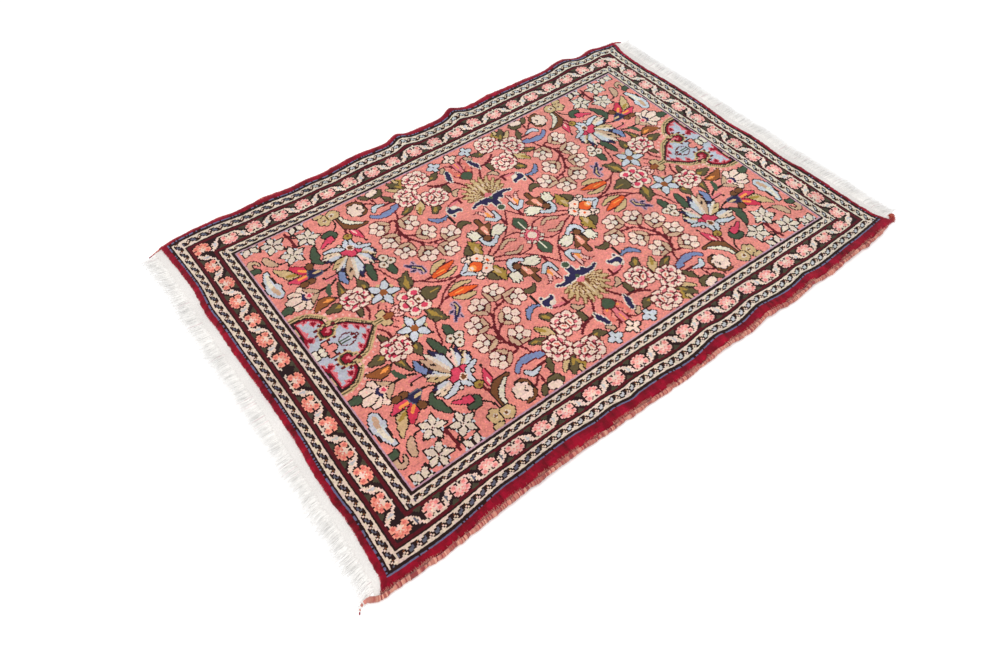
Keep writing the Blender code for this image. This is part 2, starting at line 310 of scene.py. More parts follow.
class Pen:
    """Draws on a cartoon round one place, in a frame that may be turned and mirrored."""

    def __init__(self, cartoon, x, y, turn=0.0, flip=1, size=1.0, reach=22):
        rows, columns = cartoon.shape
        left, right = max(0, int(x) - reach), min(columns, int(x) + reach + 1)
        low, high = max(0, int(y) - reach), min(rows, int(y) + reach + 1)
        self.view = cartoon[low:high, left:right]
        across = np.arange(left, right) - x
        up = (np.arange(low, high) - y)[:, None]
        c, s = heading(turn)
        self.a = (across * c + up * s) / size
        self.b = (up * c - across * s) / size * flip

    def put(self, mask, yarn, line=None):
        """Fills the mask with a yarn, inside a line one knot wide where one is named."""
        if line:
            self.view[grown(mask)] = YARN[line]
        self.view[mask] = YARN[yarn]

    def turned(self, x, y, turn):
        """Places along and across a line that leaves a point."""
        c, s = heading(turn)
        da, db = self.a - x, self.b - y
        return da * c + db * s, db * c - da * s

    def oval(self, x, y, length, width=None, turn=0.0):
        """A disc or ellipse about a point."""
        along, across = self.turned(x, y, turn)
        return (along / (length / 2)) ** 2 + (across / ((width or length) / 2)) ** 2 < 1.0

    def petal(self, x, y, turn, length, width, belly=0.5, sharp=1.0):
        """A leaf shape from its base outwards, widest at its belly, blunter when sharp is small."""
        along, across = self.turned(x, y, turn)
        t = np.clip(along / length, 0.0, 1.0)
        profile = np.sin(math.pi * t ** (math.log(0.5) / math.log(belly))) ** sharp
        return (np.abs(across) < width / 2 * profile) & (t > 0.0) & (t < 1.0)

    def blade(self, points, widths, teeth=0, depth=0.4):
        """A shape swept along a smooth line, with one width or several, and perhaps toothed sides."""
        line = spline(points)
        widths = np.atleast_1d(widths)
        count = len(line)
        share = np.linspace(0.0, 1.0, count)
        reach = np.interp(share, np.linspace(0.0, 1.0, len(widths)), widths) / 2
        if teeth:
            reach = reach * (1.0 - depth * (np.arange(count) / count * teeth % 1.0))
        distance = np.hypot(self.a[..., None] - line[:, 0], self.b[..., None] - line[:, 1])
        nearest = distance.argmin(axis=-1)
        return distance.min(axis=-1) < np.maximum(reach, THINNEST)[nearest]

    def plume(self, x, y, turn, length, width, bend, spikes=1.5):
        """A spread feather with spikes at its end: its mask, and places along and across it."""
        along, across = self.turned(x, y, turn)
        along = along / length
        across = (across - bend * along * np.abs(along)) / (width / 2)
        end = 0.98 - 0.5 * np.abs((across * spikes + 0.4) % 1.0 - 0.5) - 0.14 * across**2
        girth = 0.22 + 0.78 * np.sin(0.5 * math.pi * np.clip(along / 0.6, 0.0, 1.0))
        along = along / end
        return (along > 0.0) & (along < 1.0) & (np.abs(across) < girth), along, across

    def patch(self, points):
        """The inside of a smooth closed outline through the points."""
        loop = spline(tuple(points) + (points[0],), 60)
        inside = np.zeros(self.a.shape, bool)
        for (x0, y0), (x1, y1) in zip(loop[:-1], loop[1:]):
            if y0 != y1:
                crossed = (y0 > self.b) != (y1 > self.b)
                inside ^= crossed & (self.a < x0 + (x1 - x0) * (self.b - y0) / (y1 - y0))
        return inside

    def ring(self, count, radius, start=0.0):
        """Places and directions evenly spaced round the middle."""
        for n in range(count):
            turn = start + 360.0 * n / count
            c, s = heading(turn)
            yield radius * c, radius * s, turn

    def cluster(self, places, size, yarn):
        """Discs of one yarn that run together, with one dark line round them all."""
        for grow, shade in ((1.6, "ink"), (0.0, yarn)):
            for x, y in places:
                self.put(self.oval(x, y, size + grow), shade)


# ---------------------------------------------------------------- borders

# Knots across each band from the rug's edge inwards, for the left, right, front and back.
# yarn, left, right, front, back
BANDS = (
    ("crimson", 3, 3, 4, 4), ("iris", 1, 1, 1, 1), ("ink", 1, 1, 2, 2),
    ("guard", 6, 6, 7, 7), ("ink", 1, 1, 1, 1), ("claret", 2, 2, 2, 2),
    ("night", 11, 9, 10, 11), ("claret", 2, 1, 2, 2), ("ink", 1, 1, 1, 1),
    ("guard", 6, 6, 6, 6), ("ink", 2, 1, 2, 2),
)
CHART_YARNS = {
    "#": "ink", "i": "ivory", "w": "brown", "o": "moss", "c": "cream", "l": "silver",
    "m": "pearl",
}
# By side: left, right, front, back.
LINE_LOST = (0.3, 0.88, 0.15, 0.4)      # share of the thin iris line that is lost in the ink one
GUARD_WAY = (-1, -1, 1, 1)              # whether the guard's chart is read forwards or backwards
SLATE_COLUMNS = 110      # left of this column the guards' leaves and the front leaves' hearts are slate
# One repeat of the guard stripe's leaves, the field's side at the top.
GUARD_CHART = (
    "iiiiiiii",
    "iii####i",
    "i##m##w#",
    "#mmm##c#",
    "#mm##i#c",
    "###iiii#",
    "iiiiiiii",
)
# The main border's carnation, stem below; p and e are its petals and their edges.
CARNATION_CHART = (
    "...ee.ee...",
    ".eeppeppee.",
    "eppeepeeppe",
    "eppececeppe",
    "..eepcpee..",
    "eeeccccceee",
    "eppeccceppe",
    "eppe.c.eppe",
    ".ee.....ee.",
)
# The leaf between two carnations; b is its heart.
LEAF_CHART = (
    ".......c",
    ".....ccc",
    "....clc.",
    "...cblc.",
    "..clbc..",
    "..cbblc.",
    "..clbc..",
    ".clc....",
    "cc......",
    "c.......",
)
CORNER_CHART = (
    "ooooo",
    ".ooo.",
    "..o..",
)


def band_edges(side):
    """Where each band starts, in knots from one edge of the rug."""
    return np.concatenate([[0], np.cumsum([band[1 + side] for band in BANDS])])


def draw_bands(cartoon):
    """Nested bands of plain colour, and the guard stripes' small repeat."""
    rows, columns = cartoon.shape
    row, column = np.indices(cartoon.shape)
    inward = (column, columns - 1 - column, row, rows - 1 - row)
    depth = [np.searchsorted(band_edges(side), d, side="right") - 1 for side, d in enumerate(inward)]
    band = np.minimum.reduce(depth)
    nearest = np.argmin(depth, axis=0)
    chart = np.array([[YARN[CHART_YARNS[c]] for c in text] for text in GUARD_CHART])
    for number, (yarn, *_) in enumerate(BANDS):
        if yarn != "guard":
            cartoon[band == number] = YARN[yarn]
            continue
        for side, distance in enumerate(inward):
            here = (band == number) & (nearest == side)
            along = row if side < 2 else column
            last = BANDS[number][1 + side] - 1
            inside = band_edges(side)[number] + last - distance[here]
            line = np.round(inside * (len(chart) - 1) / last).astype(int)
            place = along[here] * GUARD_WAY[side] % chart.shape[1]
            cartoon[here] = chart[line, place]
    cartoon[(cartoon == YARN["pearl"]) & (column < SLATE_COLUMNS)] = YARN["slate"]
    lost = rng.uniform(0.0, 1.0, cartoon.shape) < np.choose(nearest, LINE_LOST)
    cartoon[(cartoon == YARN["iris"]) & lost] = YARN["ink"]
    return band


def stitch(cartoon, chart, x, y, turn, flip, yarns):
    """Works a chart into the cartoon about a place, turned by quarter turns; dots leave the ground."""
    cells = np.array([[YARN[yarns[c]] if c != "." else -1 for c in text] for text in chart])
    cells = np.rot90(cells[::-flip], -round(turn / 90))
    high, wide = cells.shape
    low, left = round(y - (high - 1) / 2), round(x - (wide - 1) / 2)
    view = cartoon[low:low + high, left:left + wide]
    view[cells >= 0] = cells[cells >= 0]


def border_unit(cartoon, x, y, turn, flip, half, tones, ends):
    """A carnation, the vine that passes its stem, and the leaves half way to its neighbours."""
    yarns = {**CHART_YARNS, "p": tones[0], "e": tones[1], "b": "pearl"}
    if turn == 0 and x < SLATE_COLUMNS:
        yarns["b"] = "slate"
    pen = Pen(cartoon, x, y, turn, flip, reach=20)

    def place(a, b):
        c, s = (round(part) for part in heading(turn))
        return x + a * c - b * flip * s, y + a * s + b * flip * c

    for side in (-1, 1):
        stitch(cartoon, CORNER_CHART, *place(side * 6.8, 4.4), turn, flip, yarns)
        vine = ((0, -2.8), (0.9, -4.3), (half - 5.4, -4.3), (half - 3.0, -3.2))
        if side in ends:
            vine += ((half, 0), (half + 3.0, 3.4), (half + 5.2, 4.3))
        pen.put(pen.blade([(side * a, b) for a, b in vine], 1.1), "ivory")
        if side in ends:
            leaf = [text[::side] for text in LEAF_CHART]
            stitch(cartoon, leaf, *place(side * half, 0), turn, flip, yarns)
    stitch(cartoon, CARNATION_CHART, *place(0, 0.7), turn, flip, yarns)


def draw_main_border(cartoon, band):
    """Carnations facing in and out by turns on all four sides, and one in each left corner."""
    rows, columns = cartoon.shape
    night = [n for n, row in enumerate(BANDS) if row[0] == "night"][0]
    ground = cartoon.copy()
    middle = [band_edges(side)[night] + (BANDS[night][1 + side] - 1) / 2 for side in range(4)]
    left, right = middle[0], columns - 1 - middle[1]
    front, back = middle[2], rows - 1 - middle[3]
    coral, pink = ("coral", "peach"), ("shell", "blush")
    # from, to, flowers, half pitches to the first flower and in all, turn, first flip, tones
    sides = (
        ((left, front), (right, front), 19, 2, 39, 0, 1, pink),
        ((right, back), (left, back), 19, 1, 39, 180, 1, pink),
        ((left, back + 1.5), (left, front + 1), 12, 2, 26, -90, -1, coral),
        ((right, front + 2), (right, back + 1), 13, 1, 26, 90, 1, pink),
    )
    for (x0, y0), (x1, y1), count, first, halves, turn, flip, tones in sides:
        half = math.hypot(x1 - x0, y1 - y0) / halves
        for n in range(count):
            share = (first + 2 * n) / halves
            x, y = x0 + (x1 - x0) * share, y0 + (y1 - y0) * share
            # an even row turns round at its middle, where the vine is broken
            step = min(n, count - 1 - n)
            broken = 2 * step + 2 == count
            ends = ((-1,) if n == step else (1,)) if broken else (-1, 1)
            border_unit(cartoon, x, y, turn, -flip if step % 2 else flip, half, tones, ends)
    for y, turn in ((front, 0), (back + 1.5, 180)):
        stitch(cartoon, CARNATION_CHART, left, y, turn, -1, {**CHART_YARNS, "p": "coral", "e": "peach"})
    outside = (band < night - 1) | (band > night + 1)
    cartoon[outside] = ground[outside]


# ---------------------------------------------------------------- the field's motifs

# Each flower is drawn about its middle and faces along +a; its stem comes in from -a.

# A rose's outer lobes: middle, length, width, and the middle and size of the pink at the foot.
LOBES = (
    (3.8, -6.6, 6.5, 4.4, 3.4, -5.4, 4.6, 2.2), (-3, -6.7, 6.2, 4.4, -3, -5.4, 4, 2.2),
    (-6.6, -3.4, 5.6, 6.4, -5.6, -2.2, 3.4, 3), (7, -2.4, 5, 6, 6.2, -1.4, 2.8, 3.6),
    (-8, 1, 4.2, 5, -7.4, 1.4, 2.2, 2.8), (7.2, 3.2, 4.4, 5.2, 6.4, 3, 2.2, 3),
    (0, 7, 6, 4.6, 0, 6, 3.6, 1.8), (4.2, 5.8, 6.8, 4.8, 3.6, 4.8, 4.2, 2.2),
    (-5, 5.2, 6.8, 6.4, -4.2, 4.4, 3.6, 3),
)


def rose(pen, shade="rose", heart="coral"):
    """Overlapping pale lobes, pink at their feet, round two curled petals and a fold."""
    for x, y, length, width, foot_x, foot_y, foot_length, foot_width in LOBES:
        pen.put(pen.oval(x, y, length, width), "cream", "wine")
        pen.put(pen.oval(foot_x, foot_y, foot_length, foot_width), shade)
    pen.put(pen.oval(-0.6, 3, 6.4, 3.8), "cream", "wine")
    for x, y, turn in ((2.6, -1.2, 46), (-2.6, -0.8, 92)):
        pen.put(pen.oval(x, y, 6.8, 4, turn), "cream", "wine")
        pen.put(pen.oval(x, y, 4.4, 1.3, turn), heart)


def pink_rose(pen):
    """The deeper rose that stands alone."""
    rose(pen, "magenta", "rose")


def wide_rose(pen):
    """The open rose on the long middle line, its lobes deep pink inside pale edges."""
    lobes = ((9.3, 0, 6, 8.6), (5.4, 7.2, 8.6, 7), (-2.2, 7, 9, 6.6), (-7.6, 0, 6.6, 12))
    for x, y, length, width in lobes:
        for side in (-1, 1):
            turn = 38 * side if x == 5.4 else 0
            pen.put(pen.oval(x, y * side, length, width, turn), "cream", "wine")
            pen.put(pen.oval(x * 0.95, y * side * 0.9, length * 0.56, width * 0.6, turn), "magenta")
    pen.put(pen.oval(3.2, 0, 6.6, 7.6), "cream", "wine")
    pen.put(pen.oval(3.8, 1.2, 3.6, 1.2, 50), "rose")
    pen.put(pen.oval(-2, 0, 5.2, 6.6), "cream", "wine")
    pen.put(pen.oval(-1.4, 0, 3, 2.6), "brown")
    pen.put(pen.blade(((-11, 0), (-14, 0), (-19, 0)), (12, 7, 1)), "olive", "ink")
    pen.put(pen.blade(((-11.5, 0), (-16.5, 0)), (1.8, 1.4)), "mustard")


def star(pen, yarn, between, heart, length=8.4, width=4.2, disc=1.6):
    """Five pointed petals with a dark line between them and pale buds in the gaps."""
    for x, y, turn in pen.ring(5, length * 0.66, 36):
        pen.put(pen.oval(x, y, 2.6, 3.4, turn), between)
    for _, _, turn in pen.ring(5, 0):
        pen.put(pen.petal(0, 0, turn, length + 2.6, width + 1.7, 0.42, 0.9), "ink")
    for _, _, turn in pen.ring(5, 0):
        pen.put(pen.petal(0, 0, turn, length, width, 0.5, 0.6), yarn)
    for x, y, _ in pen.ring(5, 1, 36):
        line = [(x * reach, y * reach) for reach in (disc * 0.5 + 0.8, length * 0.5)]
        pen.put(pen.blade(line, 1.1), "ink")
    pen.put(pen.oval(0, 0, disc), heart)


def foil(pen):
    """Three pale discs and a silver one, cupped by a bent leaf."""
    for side in (-1, 1):
        bend = ((-8.6, 0), (-6.2, 3.2 * side), (-2.8, 6.6 * side))
        pen.put(pen.blade(bend, (2.6, 3.2, 1.4)), "beige", "wine")
    pen.put(pen.oval(-2.4, 0, 4.4), "silver", "ink")
    for x, y in ((0.2, -4.6), (0.2, 4.6), (3.2, 0)):
        pen.put(pen.oval(x, y, 5.6, 5.4), "cream", "wine")
        pen.put(pen.oval(x, y, 1.3), "blush")


def daisy(pen):
    """Five long petals from a navy cup with a pink eye, on a bent leaf."""
    for turn, length in ((-70, 11), (84, 10.4), (-30, 13.2), (38, 12.6), (8, 14.6)):
        pen.put(pen.petal(0, 0, turn, length, 6.4, 0.64, 0.7), "cream", "ink")
        c, s = heading(turn)
        pen.put(pen.oval(length * 0.66 * c, length * 0.66 * s, 1.3), "blush")
    for side in (-1, 1):
        bend = ((-7.6, 0.6 * side), (-4.4, 3.2 * side), (-1.4, 6.4 * side))
        pen.put(pen.blade(bend, (2.4, 3.6, 1.8)), "beige", "ink")
    pen.put(pen.oval(1.2, 0, 4.8, 7), "navy")
    pen.put(pen.oval(-1.8, 0, 5.2, 4.8), "blush")
    pen.put(pen.oval(-1.6, 0, 3.4, 2.6), "magenta")


def ring_blossoms(pen):
    """Three small rings under a leaf."""
    pen.put(pen.petal(1.8, 0.4, 0, 11.5, 5.4, 0.42, 0.8), "green", "ink")
    for x, y in ((0.6, 2.9), (0.2, -2.9), (-4.8, 0.2)):
        pen.put(pen.oval(x, y, 6.4, 6), "ivory", "ink")
        pen.put(pen.oval(x, y, 2.2), "brown")


def blossom(pen):
    """A small round-lobed flower with a brown eye."""
    pen.cluster([(x, y) for x, y, _ in pen.ring(5, 2.9, 20)], 4.6, "khaki")
    pen.put(pen.oval(0, 0, 3.4), "ivory")
    pen.put(pen.oval(0, 0, 2.2), "brown")


def brown_eye(pen):
    """A round khaki flower with a brown eye off its middle."""
    pen.put(pen.oval(0, 0, 9), "khaki", "ink")
    pen.put(pen.oval(0.8, 0, 4.6, 3.4), "ivory")
    pen.put(pen.oval(1, 0, 2.6, 1.8), "brown")


def backed_blossom(pen):
    """An ivory flower on a dark crescent."""
    back = ((1, -7.2), (-3.6, -5.4), (-5.2, 0), (-3.2, 5.6), (3, 7.8))
    pen.put(pen.blade(back, (1.2, 3.6, 2.6, 4, 1.6)), "brown", "ink")
    pen.cluster([(x + 0.8, y * 1.1) for x, y, _ in pen.ring(7, 4, 10)], 4.4, "cream")
    pen.put(pen.oval(0.8, 0, 6.4), "cream")
    pen.put(pen.blade(((-2.4, -1.6), (-0.8, 0.2), (-2, 2)), 1), "ink")


def cross_foil(pen, yarn):
    """Four petals in a cross."""
    for grow, shade in ((1.8, "ink"), (0, yarn)):
        for x, y, turn in pen.ring(4, 3.1):
            pen.put(pen.oval(x, y, 4.6 + grow, 3.9 + grow, turn), shade)
    pen.put(pen.oval(0, 0, 1.2), "ink")


def orange_tulip(pen):
    """A long orange petal between two khaki ones."""
    pen.put(pen.blade(((-8, -3.6), (0, -5.8), (9, -3.6)), (1.6, 3.6, 1.6)), "khaki", "ink")
    pen.put(pen.blade(((-8, 1.6), (-2, 5.4), (5, 6.4)), (1.8, 4.4, 2.6)), "khaki", "ink")
    pen.put(pen.blade(((-8, -1.6), (0, 0), (10.5, 2.2)), (3.6, 5.8, 0.8)), "orange", "wine")
    pen.put(pen.blade(((-5, -0.4), (1, -0.4)), (1.2, 1)), "amber")


def palmette(pen):
    """Striped plumes fanned over a three-lobed heart, on curling sepals and a round base."""
    # root, direction, length, width, bend, yarn
    plumes = (
        (-4, -2.6, -136, 14, 7.6, 1.6, "khaki"), (-1.2, -4.6, -108, 17, 8.4, -1, "blush"),
        (6.6, 1.6, 2, 15.6, 8.2, 0.6, "sand"), (5, -3, -30, 16.8, 9.4, -1.2, "khaki"),
        (3, -4.6, -74, 23.5, 13, 1, "beige"),
    )
    for x, y, turn, length, width, bend, yarn in plumes:
        feather, along, across = pen.plume(x, y, turn, length, width, bend)
        pen.put(feather, yarn, "ink")
        pen.put(feather & (np.abs(across + 0.05) < 0.22), "ivory")
        pen.put(feather & (across < -0.2), "sky")
        pen.put(feather & (across < -0.3) & (along > 0.78), "navy")
        pen.put(feather & (np.abs(across - 0.5) < 0.16) & (np.abs(along - 0.7) < 0.09), "ink")
    for x, y in ((4.8, 1.4), (-3.4, -2), (1.2, -2.6)):
        pen.put(pen.oval(x, y, 6, 6), "magenta", "wine")
    pen.put(pen.oval(1.6, 0.2, 6, 4.4), "magenta")
    sepals = (
        ((-3.4, 10.6), (-3.2, 5), (-5.4, 0.8), (-8.8, -1.4), (-13, -2.6)),
        ((2.4, 5.2), (6.2, 5.4), (10.6, 7.6), (17, 8.6)),
        ((2.4, 5.4), (0.8, 7.6), (-1.4, 11.4)),
    )
    for points in sepals:
        pen.put(pen.blade(points, (2.6, 3.2, 3.4, 1.4)), "sky", "ink")
    for x, y in ((-7.6, 2.2), (5.4, 8.2)):
        pen.put(pen.oval(x, y, 2.4), "silver", "ink")
    pen.put(pen.oval(-0.2, 2.8, 3.8, 4.2), "brown", "cream")
    pen.put(pen.oval(-4.2, 12.8, 5.8, 5.4), "mustard", "ink")
    pen.put(pen.oval(-4.6, 13.2, 2.8, 2.4), "brown")


def lily(pen):
    """Two toothed ivory wings and a sky hood on a brown body with a pink heart."""
    body = ((3.6, -1.6), (4.6, 2.4), (5.6, 5.4), (1.2, 6.6), (0.6, 13.6), (-2.4, 13.8), (-3, 7.4),
            (-7.4, 6), (-4.2, 2), (-1.4, -2.4))
    pen.put(pen.patch(body), "brown", "ink")
    pen.put(pen.blade(((0.4, -2), (-0.8, 4.4)), (2.2, 4.2)), "peach")
    pen.put(pen.blade(((0, -1), (-0.4, 2)), 1.2), "cream")
    for x, y, turn, length, width in ((6, -4.6, 62, 13, 8), (-1.6, -6, 154, 14, 8.4)):
        pen.put(pen.plume(x, y, turn, length, width, 0.8)[0], "white", "ink")
    hood = ((7, -4), (6.4, -9), (4, -11.6), (0, -10.2), (-3.6, -8))
    pen.put(pen.blade(hood, (3.2, 3, 3.4, 2.4)), "sky", "ink")
    pen.put(pen.oval(3, -5.2, 5.4, 5.2), "brown", "ink")


def arch_tulip(pen):
    """A pale arch over an orange and pink flower with a frayed mouth."""
    for points in (((3.6, 1), (5.6, 6), (8.4, 9.6)), ((0.6, 1), (0.6, 6), (0.4, 9.8))):
        pen.put(pen.blade(points, (3.6, 3, 0.8), teeth=3), "blush", "wine")
    pen.put(pen.blade(((3, -2), (2.6, 4)), (3.4, 2.2)), "amber")
    arch = ((5.8, -1), (2.4, -4.4), (-0.6, -5.4), (-2.2, -3.4), (-2.4, 2.4))
    pen.put(pen.blade(arch, (2.8, 3, 2.6)), "sky", "ink")
    for x, y in ((10, 9.2), (6.8, 8.6), (2.4, 9)):
        pen.put(pen.oval(x, y, 2.2, 1.6), "wine")


def khaki_palmette(pen):
    """Half of the palmette on the short middle line: narrow fronds, a navy wing and a green foot."""
    for turn, reach in ((10, 16.5), (26, 19.5), (42, 19), (58, 21.5), (74, 21), (90, 23)):
        c, s = heading(turn)
        frond = [(1.5 * c, 4.0 + 2.0 * s)]
        frond += [(part * c, 4.0 + part * s) for part in (reach * 0.6, reach)]
        pen.put(pen.blade(frond, (3, 5.6, 0.8), teeth=4, depth=0.55), "khaki", "brown")
        pen.put(pen.blade(frond[:2], 1), "sand")
    pen.put(pen.patch(((0, 8), (5.6, 2), (4, 0), (0, 1.6))), "rose")
    pen.put(pen.petal(0, 26, 90, 9.4, 9.6, 0.6, 0.8), "green", "wine")
    wing = ((0, -2), (6, 0.2), (11, 1), (17.4, -0.8))
    pen.put(pen.blade(wing, (6.4, 5.2, 3.6, 1.2)), "navy", "silver")
    pen.put(pen.blade(((7, -0.5), (7, -4)), (3.6, 1.4)), "navy", "silver")
    pen.put(pen.blade(((0, -2), (0, -10)), (5.2, 4)), "navy", "silver")
    pen.put(pen.blade(wing[:3], (5.4, 4.4, 3)), "navy")
    pen.put(pen.oval(0, -12, 5.4, 4.4), "green", "silver")
    pen.put(pen.oval(0, 0.4, 3, 3.6), "green")


def corner_flower(pen):
    """A tulip of odd petals on a navy cup."""
    # points, widths, teeth, depth of the teeth, yarn, then points, widths and yarn of the heart
    petals = (
        (((5, 2), (12, 0.6), (17.4, 2.6)), (6.6, 6.6, 3), 2, 0.4, "magenta",
         ((5.5, 1.6), (12, 1.2)), (2.6, 2), "amber"),
        (((9, 5.4), (15, 9), (20.6, 18)), (3, 8.4, 3), 3, 0.3, "khaki",
         ((9.5, 5.8), (16, 8.6)), (2.4, 2.6), "mustard"),
        (((2.6, 4.6), (7, 8.4), (11, 13.6)), (5.4, 6.8, 3), 0, 0, "cherry",
         ((4.4, 5.4), (7.4, 8.6)), (2, 2), "amber"),
    )
    for points, widths, teeth, depth, yarn, inside, inner, heart in petals:
        pen.put(pen.blade(points, widths, teeth, depth), yarn, "ink")
        pen.put(pen.blade(inside, inner), heart)
    cup = ((6, -2.4), (-4.4, -2.4), (-3.6, 1), (1.6, 5.8), (3.6, 3))
    pen.put(pen.patch(cup), "navy", "slate")
    pen.put(pen.blade(((0.4, 0.6), (-3.4, 0.4)), 1.6), "khaki")
    pen.put(pen.oval(0.2, 7.6, 5.4), "brown", "ink")
    for x in (5.4, 10.6):
        pen.put(pen.oval(x, -4.6, 5.4, 4.6), "brown", "ink")


def rosette(pen):
    """A quarter of the middle rosette: pale eye, pink points, a ring of beads and a green leaf."""
    pen.put(pen.petal(0, 7, 90, 14.5, 9.4, 0.5, 0.8), "green", "wine")
    pen.put(pen.petal(0, 10, 50, 6.6, 3.4), "green")
    pen.put(pen.blade(((0, 8.5), (0, 15.5)), 1), "white")
    for turn in (0, 32, 58, 90):
        pen.put(pen.petal(0, 0, turn, 7.6, 4, 0.6), "rose", "wine" if turn in (32, 58) else None)
    for turn in (33, 66):
        c, s = heading(turn)
        pen.put(pen.oval(7.3 * c, 7.3 * s, 2.6, 2.2, turn), "ivory", "wine")
    pen.put(pen.oval(0, 0, 8.6), "magenta")
    pen.put(pen.oval(0, 0, 7.2), "cream")


def axis_daisy(pen):
    """The flower on the long middle line: a sky cup, an orange body and toothed ivory lobes."""
    for x, y, length in ((-2.4, 8.6, 4.8), (-6.4, 9.2, 4.8), (-5.6, 6.4, 4.6), (-9.6, 1.6, 4)):
        pen.put(pen.oval(x, y, length), "cream", "ink")
    for x, y in ((6.6, 0), (1.6, 5.6)):
        pen.cluster([(x + a, y + b) for a, b, _ in pen.ring(6, 2.9)], 3.4, "cream")
        pen.put(pen.oval(x, y, 4.6), "cream")
        pen.put(pen.oval(x, y, 2.4), "orange")
    body = ((-7.6, 0), (-5, 4.8), (-1, 3.6), (1.2, 0))
    pen.put(pen.patch(body + ((-5, -4.8),)), "orange", "ink")
    pen.put(pen.oval(-6, 0, 4.4, 5), "amber")
    pen.put(pen.oval(-6.4, 0, 2.2, 2.6), "cream")
    pen.put(pen.blade(((-15, 0.6), (-11, 2.4), (-7.8, 5.6)), (1.6, 3.2, 1.8)), "sky", "ink")


def medallion(pen):
    """Half of the medallion at the short end: pale ground, flames, scrolls and a beaded cord."""
    edge = ((-28, 1.2), (-22, 1.6), (-18, 5.6), (-13, 11.2), (-8, 15.6), (-2, 17.6), (3.5, 18.4))
    lobe = ((0.8, 18.6), (1.6, 24), (5.6, 28.8), (10.6, 32.4), (16, 33.8), (21.6, 33.6))
    curl = ((2, 18.2), (8, 17), (10.2, 13), (8.4, 9.6), (5, 8.6), (2, 9.8), (0.6, 12.6), (-1.4, 13.4))
    ground = ((-20, -2), (-18, 4.6), (-13, 10.2), (-8, 14.6), (0, 17), (2, 23), (6, 28), (11, 31.4),
              (22, 32.6), (23, -2))
    pen.put(pen.patch(ground), "mist")
    # root, direction, length, width
    flames = (
        (-17, 5, -78, 4, 2.4), (-12.5, 9.5, -88, 7.4, 2.6), (-7, 13, -84, 6, 2.4),
        (7, 27.5, -62, 6.4, 3.6), (12, 30, -50, 4, 2.6), (19, 12, 165, 4.4, 4),
        (19.6, 19, -170, 2.6, 4), (20.8, 14, -84, 6.4, 2.2), (20, 27, -110, 4, 2.4),
    )
    for x, y, turn, length, width in flames:
        pen.put(pen.petal(x, y, turn, length + 1.4, width + 1.6, 0.4), "rose")
        pen.put(pen.petal(x, y, turn, length, width, 0.4), "crimson")
    rims = (
        ((-20, 2), (-16, 5.6), (-11, 10.6), (-5, 14.2), (2, 15.6), (6, 15.8)),
        ((3.6, 18.6), (4.6, 23.6), (8.6, 28), (13.6, 30.4), (20.6, 31)),
        ((20.4, 31), (19.6, 22), (20.2, 13)),
    )
    for points in rims:
        pen.put(pen.blade(points, (3.6, 4.4, 3.8)), "rose")
        pen.put(pen.blade(points, (2.4, 3, 2.6)), "crimson")
    pen.put(pen.blade(((20.8, 31.4), (20.2, 20), (20.8, 14)), (1.6, 1.8, 0.8)), "ink")
    pen.put(pen.blade(((22, 29), (21.6, 22), (22.2, 17.5)), (1.2, 2.4, 1)), "beige")
    for points in (edge, lobe, curl):
        pen.put(pen.blade(points, 3.2), "khaki")
        pen.put(pen.blade(points, 0.8), "olive")
    lines = (
        ((-21, 0.2), (-17.4, 4.2), (-12.2, 9.4), (-7, 13.6), (-1.4, 15.2), (4.6, 15.6)),
        ((3, 19.6), (3.8, 24), (7.2, 27.6), (12.2, 30.8), (20.6, 31.6)),
    )
    for points in lines:
        pen.put(pen.blade(points, 1.5), "ink")
    pen.put(pen.oval(5.4, 13, 6.8, 6.6), "crimson", "ink")
    pen.put(pen.oval(4.8, 12.8, 3, 2.4), "rose")
    pen.put(pen.blade(((0, 14.2), (4, 14.2)), (1.6, 2)), "rose")
    for turn in (-105, -70, -30, 5, 40, 78, 150):
        c, s = heading(turn)
        pen.put(pen.oval(5.2 + 7.4 * c, 13.2 + 6.9 * s, 2.7, 2.4), "wine")
    for points, count in ((edge[2:], 7), (lobe, 8)):
        for x, y in spline(points, count):
            pen.put(pen.oval(x - 1.9, y + 2.9, 2), "blush")
    for x, y, size in ((11.5, 4.2, 5), (14, 0, 6.6), (8.6, 0, 6)):
        pen.put(pen.oval(x, y, size), "salmon", "ink")
    pen.put(pen.oval(12.2, 0.6, 5, 5), "salmon")
    for x in (15.6, 20.2):
        pen.put(pen.oval(x, 1.6, 4, 3.8), "white", "ink")
    pen.put(pen.oval(-2.4, 0, 12.6, 10.6) & ~pen.oval(-2.4, 0, 10.4, 8.4), "wine")
    pen.put(pen.blade(((-6, 1.6), (-10.5, 0.4)), (1.2, 1)), "wine")
    pen.put(pen.blade(((-4, 0.8), (2.6, 0.8)), 1.4), "green")


